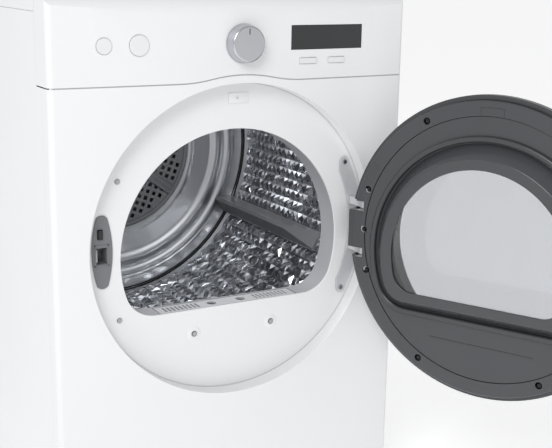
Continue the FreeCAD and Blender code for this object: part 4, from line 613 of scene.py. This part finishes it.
def opened_tree(name: str, inputs: dict[str, str]) -> tuple:
    """Start a Geometry Nodes tree.

    Args:
        name: the tree's name.
        inputs: name to kind of each input after the geometry.

    Returns:
        The tree and its inputs.
    """
    tree = bpy.data.node_groups.new(name, "GeometryNodeTree")
    face = tree.interface
    face.new_socket("Geometry", in_out="INPUT", socket_type="NodeSocketGeometry")
    for label, kind in inputs.items():
        face.new_socket(label, in_out="INPUT", socket_type="NodeSocket" + kind)
    face.new_socket("Geometry", in_out="OUTPUT", socket_type="NodeSocketGeometry")
    return tree, add(tree, "NodeGroupInput").outputs


def closed_tree(tree: bpy.types.NodeTree, shape: bpy.types.NodeSocket,
                finish: bpy.types.NodeSocket) -> bpy.types.NodeTree:
    """Realize a tree's instances, give them their material, end the tree and return it."""
    whole = add(tree, "GeometryNodeRealizeInstances", {"Geometry": shape})
    dressed = add(tree, "GeometryNodeSetMaterial", {"Geometry": whole.outputs[0], "Material": finish})
    add(tree, "NodeGroupOutput", {0: dressed.outputs[0]})
    return tree


def grown_by(tree: bpy.types.NodeTree, values: dict, name: str,
             points: list[Vector] | None = None) -> bpy.types.Mesh:
    """Run a Geometry Nodes tree once and keep the plain mesh that it gives.

    Args:
        tree: the tree, whose inputs are named.
        values: input name to value.
        name: the mesh's name.
        points: places that the tree puts something on, in metres.

    Returns:
        The mesh, with no modifier left.
    """
    start = bpy.data.meshes.new(name)
    start.from_pydata(points or [], [], [])
    holder = bpy.data.objects.new(name + "_holder", start)
    bpy.context.scene.collection.objects.link(holder)
    modifier = holder.modifiers.new(name, "NODES")
    modifier.node_group = tree
    for item in tree.interface.items_tree:
        if item.item_type == "SOCKET" and item.in_out == "INPUT" and item.name in values:
            modifier[item.identifier] = values[item.name]
    bpy.context.view_layer.update()
    made = bpy.data.meshes.new_from_object(holder.evaluated_get(bpy.context.evaluated_depsgraph_get()))
    made.name = name
    bpy.data.objects.remove(holder)
    return made


@dataclass
class RearWall:
    """The still rear wall of the drum: spun rings round the hot-air grille.

    Attributes:
        hole: radius of the air hole in metres.
        edge: radius where the spun disc meets the plain plate in metres.
    """

    hole: float = 0.172
    edge: float = 0.3055

    def plate(self) -> bpy.types.Mesh:
        """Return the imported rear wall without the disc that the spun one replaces."""
        work = bmesh.new()
        work.from_mesh(finished_copy("rear_bulkhead"))
        gone = [f for f in work.faces if all(math.hypot(v.co.x, v.co.z - AXIS_Z) < self.edge - 0.001
                                             for v in f.verts)]
        bmesh.ops.delete(work, geom=gone, context="FACES")
        return smooth(to_mesh("rear_wall_plate", work))

    def disc(self) -> bpy.types.Mesh:
        """Spin the disc: a dished middle, two broad rings and a fine step, in a sheet 1.2 mm thick."""
        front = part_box("rear_bulkhead")[1].y - SHEET
        rises = ((0.1935, 0.009, 0.0016), (0.2575, 0.0190, 0.0068), (0.2895, 0.0125, 0.0048))
        radii = [self.hole + (self.edge - self.hole) * k / 150 for k in range(151)]

        def level(radius: float) -> float:
            """Height of the sheet towards the door at a radius."""
            height = 0.0
            for middle, half, rise in rises:
                share = abs(radius - middle) / half
                if share < 1:
                    height += rise * (0.5 + 0.5 * math.cos(math.pi * share))
            return height

        face = [(r, front - level(r)) for r in radii]
        back = [(r, front - level(r) + SHEET) for r in reversed(radii)]
        return from_bmesh("rear_wall_disc", lathe(face + back, AXIS_Z, 160), 50)

    def spokes(self) -> bpy.types.Mesh:
        """Return the four ribbed spokes across the grille, from its hub to its rim."""
        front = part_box("air_inlet_grille")[1].y - 6.5 * MM
        bars = ((0.0, 0.0125, 0.0022), (-0.0105, 0.0022, 0.0036), (0.0, 0.0022, 0.0036),
                (0.0105, 0.0022, 0.0036))
        parts = []
        for k in range(4):
            turn = Matrix.Rotation(math.radians(36 + 90 * k), 4, "Y")
            for across, wide, tall in bars:
                bar = block((0.030, front - tall, across - wide),
                            (self.hole + 0.003, front + 0.001, across + wide), 0.0006)
                parts.append(moved(bar, Matrix.Translation((0, 0, AXIS_Z)) @ turn))
        ring = [(0.1715, front - 0.0026), (0.1735, front - 0.0034), (0.1775, front - 0.0034),
                (0.1805, front - 0.0012), (0.1805, front + 0.001), (0.1715, front + 0.001)]
        parts.append(lathe(ring, AXIS_Z, 144))
        return joined("grille_spokes", parts)

    def build(self) -> None:
        """Build the rear wall's pieces."""
        piece("rear_wall_plate", self.plate(), "stainless_rear", "cabinet", "rear_bulkhead")
        piece("rear_wall_disc", self.disc(), "stainless_rear", "cabinet")
        refine("air_inlet_grille", "cabinet", "grille_plastic")
        piece("grille_spokes", self.spokes(), "grille_plastic", "cabinet")
        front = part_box("rear_bulkhead")[1].y - SHEET
        lip = [(0.3258, front - 1.6 * MM), (0.3285, front - 1.6 * MM), (0.3285, front), (0.3258, front)]
        piece("rear_wall_seal_lip", from_bmesh("rear_wall_seal_lip", lathe(lip, AXIS_Z)),
              "black_rubber", "cabinet")


def door_inward() -> Vector:
    """Return the way that the open door's inner face looks."""
    return Vector((-math.sin(OPEN_TURN), math.cos(OPEN_TURN), 0))


@dataclass
class Door:
    """The open door: rim, inner panel, gasket, glass and outer shell."""

    softened: dict[str, tuple[str, float]] = field(default_factory=lambda: {
        "door_inner_frame": ("door_grey", 1.0), "door_bezel": ("door_grey", 1.5),
        "door_gasket": ("door_shell_grey", 2.5), "door_outer_ring": ("door_shell_grey", 0.0),
        "door_inner_glass": ("clear_glass", 0.6), "door_outer_window": ("window_glass", 0.0),
        "door_latch_hook": ("latch_plastic", 0.5), "door_hinge_leaf": ("leaf_steel", 0.5)})

    def opened(self, mesh: bpy.types.Mesh) -> bpy.types.Mesh:
        """Turn a mesh that was built on the closed door to where the door stands open, and return it."""
        swing = Matrix.Rotation(OPEN_TURN, 4, "Z")
        mesh.transform(Matrix.Translation(HINGE) @ swing @ Matrix.Translation(-HINGE))
        return mesh

    def inner_trim(self) -> bpy.types.Mesh:
        """Return the moulded ribs on the inner panel, under the window."""
        face = FRONT_Y + 7.0 * MM
        z = DOOR_Z - 0.1745
        return self.opened(joined("door_panel_rib", [
            block((x0 - 0.001, face - 0.6 * MM, z - 1.2 * MM), (x1, face + 0.9 * MM, z + 1.2 * MM), 0.5 * MM)
            for x0, x1 in ((0.030, 0.096), (-0.100, 0.030))]))

    def seams(self) -> bpy.types.Mesh:
        """Return the fine shadow lines where the rim's mouldings meet."""
        face = FRONT_Y + 8.4 * MM
        parts = []
        bars = [(0.217, 0.1285, 0.0, 0.018), (0.2177, -0.1268, 0.0, 0.018),
                (0.021, 0.2445, 0.0, 0.016), (-0.021, 0.2445, 0.0, 0.016)]
        for k in range(8):
            spot = math.radians(85.9 + k * 8.2 / 7)
            bars.append((0.2525 * math.cos(spot), 0.2525 * math.sin(spot), math.pi / 2, 0.0056))
        for x, z, tilt, length in bars:
            turn = math.atan2(z, x) + tilt
            bar = block((-length / 2, face - 0.5 * MM, -0.35 * MM), (length / 2, face + 0.12 * MM, 0.35 * MM))
            parts.append(moved(bar, Matrix.Translation((x, 0, DOOR_Z + z)) @ Matrix.Rotation(-turn, 4, "Y")))
        return self.opened(joined("door_rim_seams", parts))

    def build(self) -> None:
        """Build the door's pieces."""
        for node, (finish, bevel) in self.softened.items():
            refine(node, "door", finish, bevel)
        piece("door_panel_rib", self.inner_trim(), "door_grey", "door")
        piece("door_rim_seams", self.seams(), "black_plastic", "door")


@dataclass
class Cabinet:
    """The cabinet's own panels, the opening's sleeve, the latch, the hinge and the lint filter."""

    softened: dict[str, tuple[str, float]] = field(default_factory=lambda: {
        "front_panel": ("white_enamel", 0.0), "control_panel": ("white_fascia", 0.5),
        "top_cover": ("white_enamel", 0.0), "left_side_panel": ("white_enamel", 0.4),
        "right_side_panel": ("white_enamel", 0.4), "front_collar": ("grey_plastic", 0.5),
        "latch_plate": ("latch_plastic", 0.5), "hinge_bracket": ("hinge_steel", 1.2),
        "display_window": ("display_glass", 0.4)})

    def floor_y(self) -> float:
        """Return how deep the recess floor lies, from the hinge bracket that is screwed down on it."""
        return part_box("hinge_bracket")[1].y

    def mounds(self) -> bpy.types.Mesh:
        """Return the pressed mounds round the two lower screws of the recess."""
        y = self.floor_y()
        profile = [(5.4, 0.3), (5.9, -1.1), (8.5, -1.0), (11.0, -0.6), (13.5, -0.1), (14.2, 0.3)]
        centres = [((low.x + high.x) / 2, (low.z + high.z) / 2) for low, high in loose_parts("cabinet_screws")
                   if low.y < 0 and low.z < 0.40]
        return joined("recess_mounds", [lathe([(r * MM, y + d * MM) for r, d in profile], z, 40, x)
                                        for x, z in centres], 60)

    def pad(self) -> bpy.types.Mesh:
        """Return the small raised pad over the opening, with its moulded eye."""
        y = self.floor_y()
        body = block((-0.012, y - 0.9 * MM, 0.799), (0.027, y + 0.5 * MM, 0.818), 0.4 * MM)
        eye = [(r * MM, y - rise * MM) for r, rise in ((1.6, 0.8), (1.6, 1.9), (2.6, 1.9), (3.4, 0.8))]
        return joined("recess_pad", [body, lathe(eye, 0.809, 24, 0.004)])

    def latch_frame(self) -> bpy.types.Mesh:
        """Return the raised frame round the hook's pocket."""
        y = self.floor_y() - 1.6 * MM
        x0, x1, z0, z1, bar = -0.2656, -0.2389, 0.534, 0.5722, 2.6 * MM
        sides = (((x0, z0), (x1, z0 + bar)), ((x0, z1 - bar), (x1, z1)),
                 ((x0, z0), (x0 + bar, z1)), ((x1 - bar, z0), (x1, z1)))
        return joined("latch_frame", [block((a[0], y - 1.2 * MM, a[1]), (b[0], y + 0.4 * MM, b[1]), 0.3 * MM)
                                      for a, b in sides])

    def striker(self) -> bpy.types.Mesh:
        """Return the steel lip inside the hook's pocket, along its hinge-side wall."""
        y = self.floor_y()
        lip = block((-0.2608, y + 1 * MM, 0.541), (-0.2588, y + 20 * MM, 0.563), 0.3 * MM)
        return joined("latch_striker", [lip])

    def seam_backing(self) -> bpy.types.Mesh:
        """Return the strip behind the seam over the front panel, along its arch."""
        work = bmesh.new()
        low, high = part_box("front_panel")
        arch_rise, arch_half, bow_radius = 12 * MM, 0.118, 6.0
        crest = high.z - arch_rise
        half = high.x - 3 * MM
        section = [(dy * MM, dz * MM) for dy, dz in ((0, -0.6), (0, 2.6), (1, 2.6), (1, -0.6))]
        rows = []
        for k in range(121):
            x = -half + 2 * half * k / 120
            rise = 0.0
            if abs(x) < arch_half:
                rise = arch_rise * (0.5 + 0.5 * math.cos(math.pi * x / arch_half))
            y = low.y + x * x / (2 * bow_radius) + 1.5 * MM
            rows.append([work.verts.new((x, y + dy, crest + rise + dz)) for dy, dz in section])
        for here, there in zip(rows, rows[1:]):
            for j in range(4):
                work.faces.new((here[j], here[(j + 1) % 4], there[(j + 1) % 4], there[j]))
        work.faces.new(rows[0])
        work.faces.new(reversed(rows[-1]))
        return from_bmesh("seam_backing", work)

    def build(self) -> None:
        """Build the cabinet's pieces."""
        for node, (finish, bevel) in self.softened.items():
            refine(node, "cabinet", finish, bevel)
        for mesh, finish in ((self.seam_backing(), "white_fascia"), (self.mounds(), "white_enamel"),
                             (self.pad(), "white_enamel"), (self.latch_frame(), "latch_plastic"),
                             (self.striker(), "screw_steel")):
            piece(mesh.name, mesh, finish, "cabinet")
        refine("lint_filter_frame", "lint_filter", "filter_plastic", 0.5)
        refine("cycle_knob", "cycle_knob", "knob_metal", 0.6)
        for node in ("power_button", "start_button", "option_button_1", "option_button_2"):
            refine(node, node, "button_plastic", 0.6)


@dataclass
class Fasteners:
    """The machine's cross-recessed screws.

    Attributes:
        head: radius of a screw's head in mm.
        height: how far the head stands up in mm.
        slot: width of the cross in mm.
    """

    head: float = 5.0
    height: float = 2.5
    slot: float = 1.2

    def tree(self) -> bpy.types.NodeTree:
        """Build the tree that sets one recessed head on every given point."""
        tree, given = opened_tree("screw_heads", {
            "Head radius": "Float", "Head height": "Float", "Slot width": "Float", "Facing": "Vector",
            "Seed": "Int", "Finish": "Material"})

        def times(value: bpy.types.NodeSocket, factor: float) -> bpy.types.NodeSocket:
            """Return a size times a factor."""
            return add(tree, "ShaderNodeMath", {0: value, 1: factor}, operation="MULTIPLY").outputs[0]

        head = add(tree, "GeometryNodeMeshCone", {
            "Vertices": 28, "Side Segments": 1, "Fill Segments": 1,
            "Radius Top": times(given["Head radius"], 0.72), "Radius Bottom": given["Head radius"],
            "Depth": given["Head height"]})
        long, deep = times(given["Head radius"], 1.1), times(given["Head height"], 1.3)
        cutters = []
        for order in ((long, given["Slot width"]), (given["Slot width"], long)):
            size = add(tree, "ShaderNodeCombineXYZ", {0: order[0], 1: order[1], 2: deep}).outputs[0]
            bar = add(tree, "GeometryNodeMeshCube", {"Size": size})
            lift = add(tree, "ShaderNodeCombineXYZ", {2: given["Head height"]}).outputs[0]
            cutters.append(add(tree, "GeometryNodeTransform", {"Geometry": bar.outputs[0],
                                                               "Translation": lift}).outputs[0])
        cross = add(tree, "GeometryNodeJoinGeometry")
        for cutter in cutters:
            tree.links.new(cutter, cross.inputs[0])
        cut = add(tree, "GeometryNodeMeshBoolean", {0: head.outputs[0], 1: cross.outputs[0]},
                  operation="DIFFERENCE")
        turned = add(tree, "FunctionNodeAlignRotationToVector", {"Vector": given["Facing"]}, axis="Z")
        spin = add(tree, "FunctionNodeRandomValue", {2: 0.0, 3: 3.0, "Seed": given["Seed"]},
                   data_type="FLOAT").outputs[1]
        about = add(tree, "FunctionNodeAxisAngleToRotation", {"Angle": spin}).outputs[0]
        both = add(tree, "FunctionNodeRotateRotation", {0: turned.outputs[0], 1: about},
                   rotation_space="LOCAL")
        placed = add(tree, "GeometryNodeInstanceOnPoints", {
            "Points": given["Geometry"], "Instance": cut.outputs[0], "Rotation": both.outputs[0]})
        return closed_tree(tree, placed.outputs[0], given["Finish"])

    def heads(self, name: str, points: list[Vector], facing: Vector, finish: str) -> bpy.types.Mesh:
        """Set heads on their seats.

        Args:
            name: the mesh's name.
            points: the seats.
            facing: the way that the heads look.
            finish: their finish.

        Returns:
            The heads in one mesh.
        """
        values = {"Head radius": self.head * MM, "Head height": self.height * MM,
                  "Slot width": self.slot * MM, "Facing": facing, "Seed": 3,
                  "Finish": FINISHES[finish].build()}
        return grown_by(self.tree(), values, name, points)

    def build(self) -> None:
        """Replace the plain screws of the cabinet and the door by recessed heads."""
        seats = {-1: [], 1: []}
        for low, high in loose_parts("cabinet_screws"):
            side = -1 if low.y < 0 else 1
            seat = low.y + self.height * MM if side < 0 else high.y - self.height * MM
            seats[side].append(Vector(((low.x + high.x) / 2, seat, (low.z + high.z) / 2)))
        parts = [self.heads("heads", points, Vector((0, side, 0)), "screw_steel")
                 for side, points in seats.items()]
        piece("cabinet_screw_heads", joined("cabinet_screw_heads", parts, 30), "screw_steel", "cabinet",
              "cabinet_screws")
        inward = door_inward()
        points = []
        for low, high in loose_parts("door_screws"):
            middle = (low + high) / 2
            reach = abs(inward.x) * (high.x - low.x) / 2 + abs(inward.y) * (high.y - low.y) / 2
            # A tilted screw's box reaches further than the screw, by the tilt of its head's rim.
            tilt = 2 * abs(inward.x * inward.y) * self.head * MM
            points.append(middle + inward * (reach - tilt - self.height * MM))
        # The door's heads take the near-black colour that paints the shade of their wells.
        mesh = self.heads("door_screw_heads", points, inward, "screw_black")
        piece("door_screw_heads", smooth(mesh, 30), "screw_black", "door", "door_screws")


@dataclass
class ControlPanel:
    """The small parts of the control panel: marks round the knob and the knob's pointer.

    Attributes:
        marks: number of marks round the knob.
        ring: radius of the circle that they lie on, in mm.
        spread: angle from the first mark to the last, in degrees.
    """

    marks: int = 13
    ring: float = 43.0
    spread: float = 300.0

    def dots(self) -> bpy.types.Mesh:
        """Return the marks: short raised bars on an arc round the knob."""
        low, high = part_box("cycle_knob")
        centre = (low + high) / 2
        parts = []
        for k in range(self.marks):
            turn = math.radians(-self.spread / 2 + self.spread * k / (self.marks - 1))
            x, z = self.ring * MM * math.sin(turn), self.ring * MM * math.cos(turn)
            half = 2.6 * MM if k % 3 == 0 else 1.6 * MM
            bar = block((-0.5 * MM, high.y - 0.2 * MM, -half), (0.5 * MM, high.y + 1.2 * MM, half))
            place = Matrix.Translation((centre.x + x, 0, centre.z + z)) @ Matrix.Rotation(turn, 4, "Y")
            parts.append(moved(bar, place))
        return joined("dial_marks", parts)

    def pointer(self) -> bpy.types.Mesh:
        """Return the inlaid line on the knob's face."""
        low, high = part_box("cycle_knob")
        x = (low.x + high.x) / 2
        return joined("knob_pointer", [block((x - 0.9 * MM, low.y - 0.25 * MM, high.z - 17 * MM),
                                             (x + 0.9 * MM, low.y + 0.8 * MM, high.z - 7 * MM), 0.3 * MM)])

    def build(self) -> None:
        """Build the control panel's small parts."""
        piece("dial_marks", self.dots(), "latch_plastic", "cabinet")
        piece("knob_pointer", self.pointer(), "black_plastic", "cycle_knob")


@dataclass
class Studio:
    """Camera, soft light and a plain pale floor.

    Attributes:
        place: the camera's place in metres.
        lens: its focal length in mm on a sensor 36 mm wide.
        yaw: how far it looks round to the right, in degrees.
        pitch: how far it looks down.
        roll: how far it leans to the right.
    """

    place: tuple[float, float, float] = (-0.8743, -1.9950, 1.0376)
    lens: float = 70.13
    yaw: float = 30.0
    pitch: float = 13.6
    roll: float = 1.0

    def camera(self) -> None:
        """Place the camera."""
        yaw, pitch, roll = (math.radians(v) for v in (self.yaw, self.pitch, self.roll))
        forward = Vector((math.sin(yaw) * math.cos(pitch), math.cos(yaw) * math.cos(pitch), -math.sin(pitch)))
        right = Vector((math.cos(yaw), -math.sin(yaw), 0.0))
        up = right.cross(forward)
        x_axis = math.cos(roll) * right + math.sin(roll) * up
        y_axis = math.cos(roll) * up - math.sin(roll) * right
        turned = Matrix((x_axis, y_axis, -forward)).transposed().to_4x4()
        data = bpy.data.cameras.new("camera")
        data.lens = self.lens
        data.sensor_width = 36.0
        made = bpy.data.objects.new("camera", data)
        made.matrix_world = Matrix.Translation(self.place) @ turned
        bpy.context.scene.collection.objects.link(made)
        bpy.context.scene.camera = made

    def lamp(self, name: str, place: tuple[float, float, float], target: tuple[float, float, float],
             size: float, power: float) -> None:
        """Add one soft square lamp.

        Args:
            name: the lamp's name.
            place: where it stands, in metres.
            target: the point that it faces.
            size: length of its side in metres.
            power: its power in watts.
        """
        data = bpy.data.lights.new(name, "AREA")
        data.size = size
        data.energy = power
        made = bpy.data.objects.new(name, data)
        made.location = place
        made.rotation_euler = (Vector(target) - Vector(place)).to_track_quat("-Z", "Y").to_euler()
        bpy.context.scene.collection.objects.link(made)

    def build(self) -> None:
        """Build the studio."""
        self.camera()
        world = bpy.data.worlds.new("studio")
        world.use_nodes = True
        sky = world.node_tree
        seen = add(sky, "ShaderNodeLightPath").outputs["Is Camera Ray"]
        light = add(sky, "ShaderNodeBackground", {0: linear("#FBFBFC"), 1: 0.62})
        backdrop = add(sky, "ShaderNodeBackground", {0: linear("#FBFBFC"), 1: 1.0})
        mixed = add(sky, "ShaderNodeMixShader", {0: seen, 1: light.outputs[0], 2: backdrop.outputs[0]})
        sky.links.new(mixed.outputs[0], sky.nodes["World Output"].inputs[0])
        bpy.context.scene.world = world
        bpy.context.scene.view_settings.view_transform = "Standard"
        self.lamp("key", (-2.0, -2.4, 2.6), (0.0, -0.3, 0.6), 1.5, 52.0)
        self.lamp("drum_lamp", (0.0, -0.14, 0.925), (0.0, 0.0, 0.5), 0.22, 2.1)
        far = 60.0
        mesh = bpy.data.meshes.new("floor")
        mesh.from_pydata([(-far, -far, 0), (far, -far, 0), (far, far, 0), (-far, far, 0)], [], [(0, 1, 2, 3)])
        floor = bpy.data.objects.new("floor", mesh)
        bpy.context.scene.collection.objects.link(floor)
        paint = bpy.data.materials.new("floor_paint")
        paint.use_nodes = True
        shader = paint.node_tree.nodes["Principled BSDF"]
        shader.inputs["Base Color"].default_value = linear("#FCFCFC")
        shader.inputs["Roughness"].default_value = 0.9
        shader.inputs["Emission Color"].default_value = linear("#FFFFFF")
        shader.inputs["Emission Strength"].default_value = 0.34
        mesh.materials.append(paint)


def dress_packed_nodes(nodes: dict[str, bpy.types.Object]) -> None:
    """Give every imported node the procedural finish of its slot.

    Args:
        nodes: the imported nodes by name.
    """
    for name, node in nodes.items():
        for k, spot in enumerate(node.material_slots):
            slot = spot.material.name.split(".")[0]
            node.data.materials[k] = FINISHES[slot].build()
            log.info("%s takes the finish %s", name, slot)


def main() -> None:
    """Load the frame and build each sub-assembly."""
    logging.basicConfig(level=logging.INFO, format="%(message)s")
    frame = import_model()
    dress_packed_nodes(frame["nodes"])
    for assembly in (Cabinet(), ControlPanel(), Drum(), RearWall(), Door(), Fasteners()):
        assembly.build()
    Studio().build()
    bpy.context.view_layer.update()


if __name__ == "__main__":
    main()
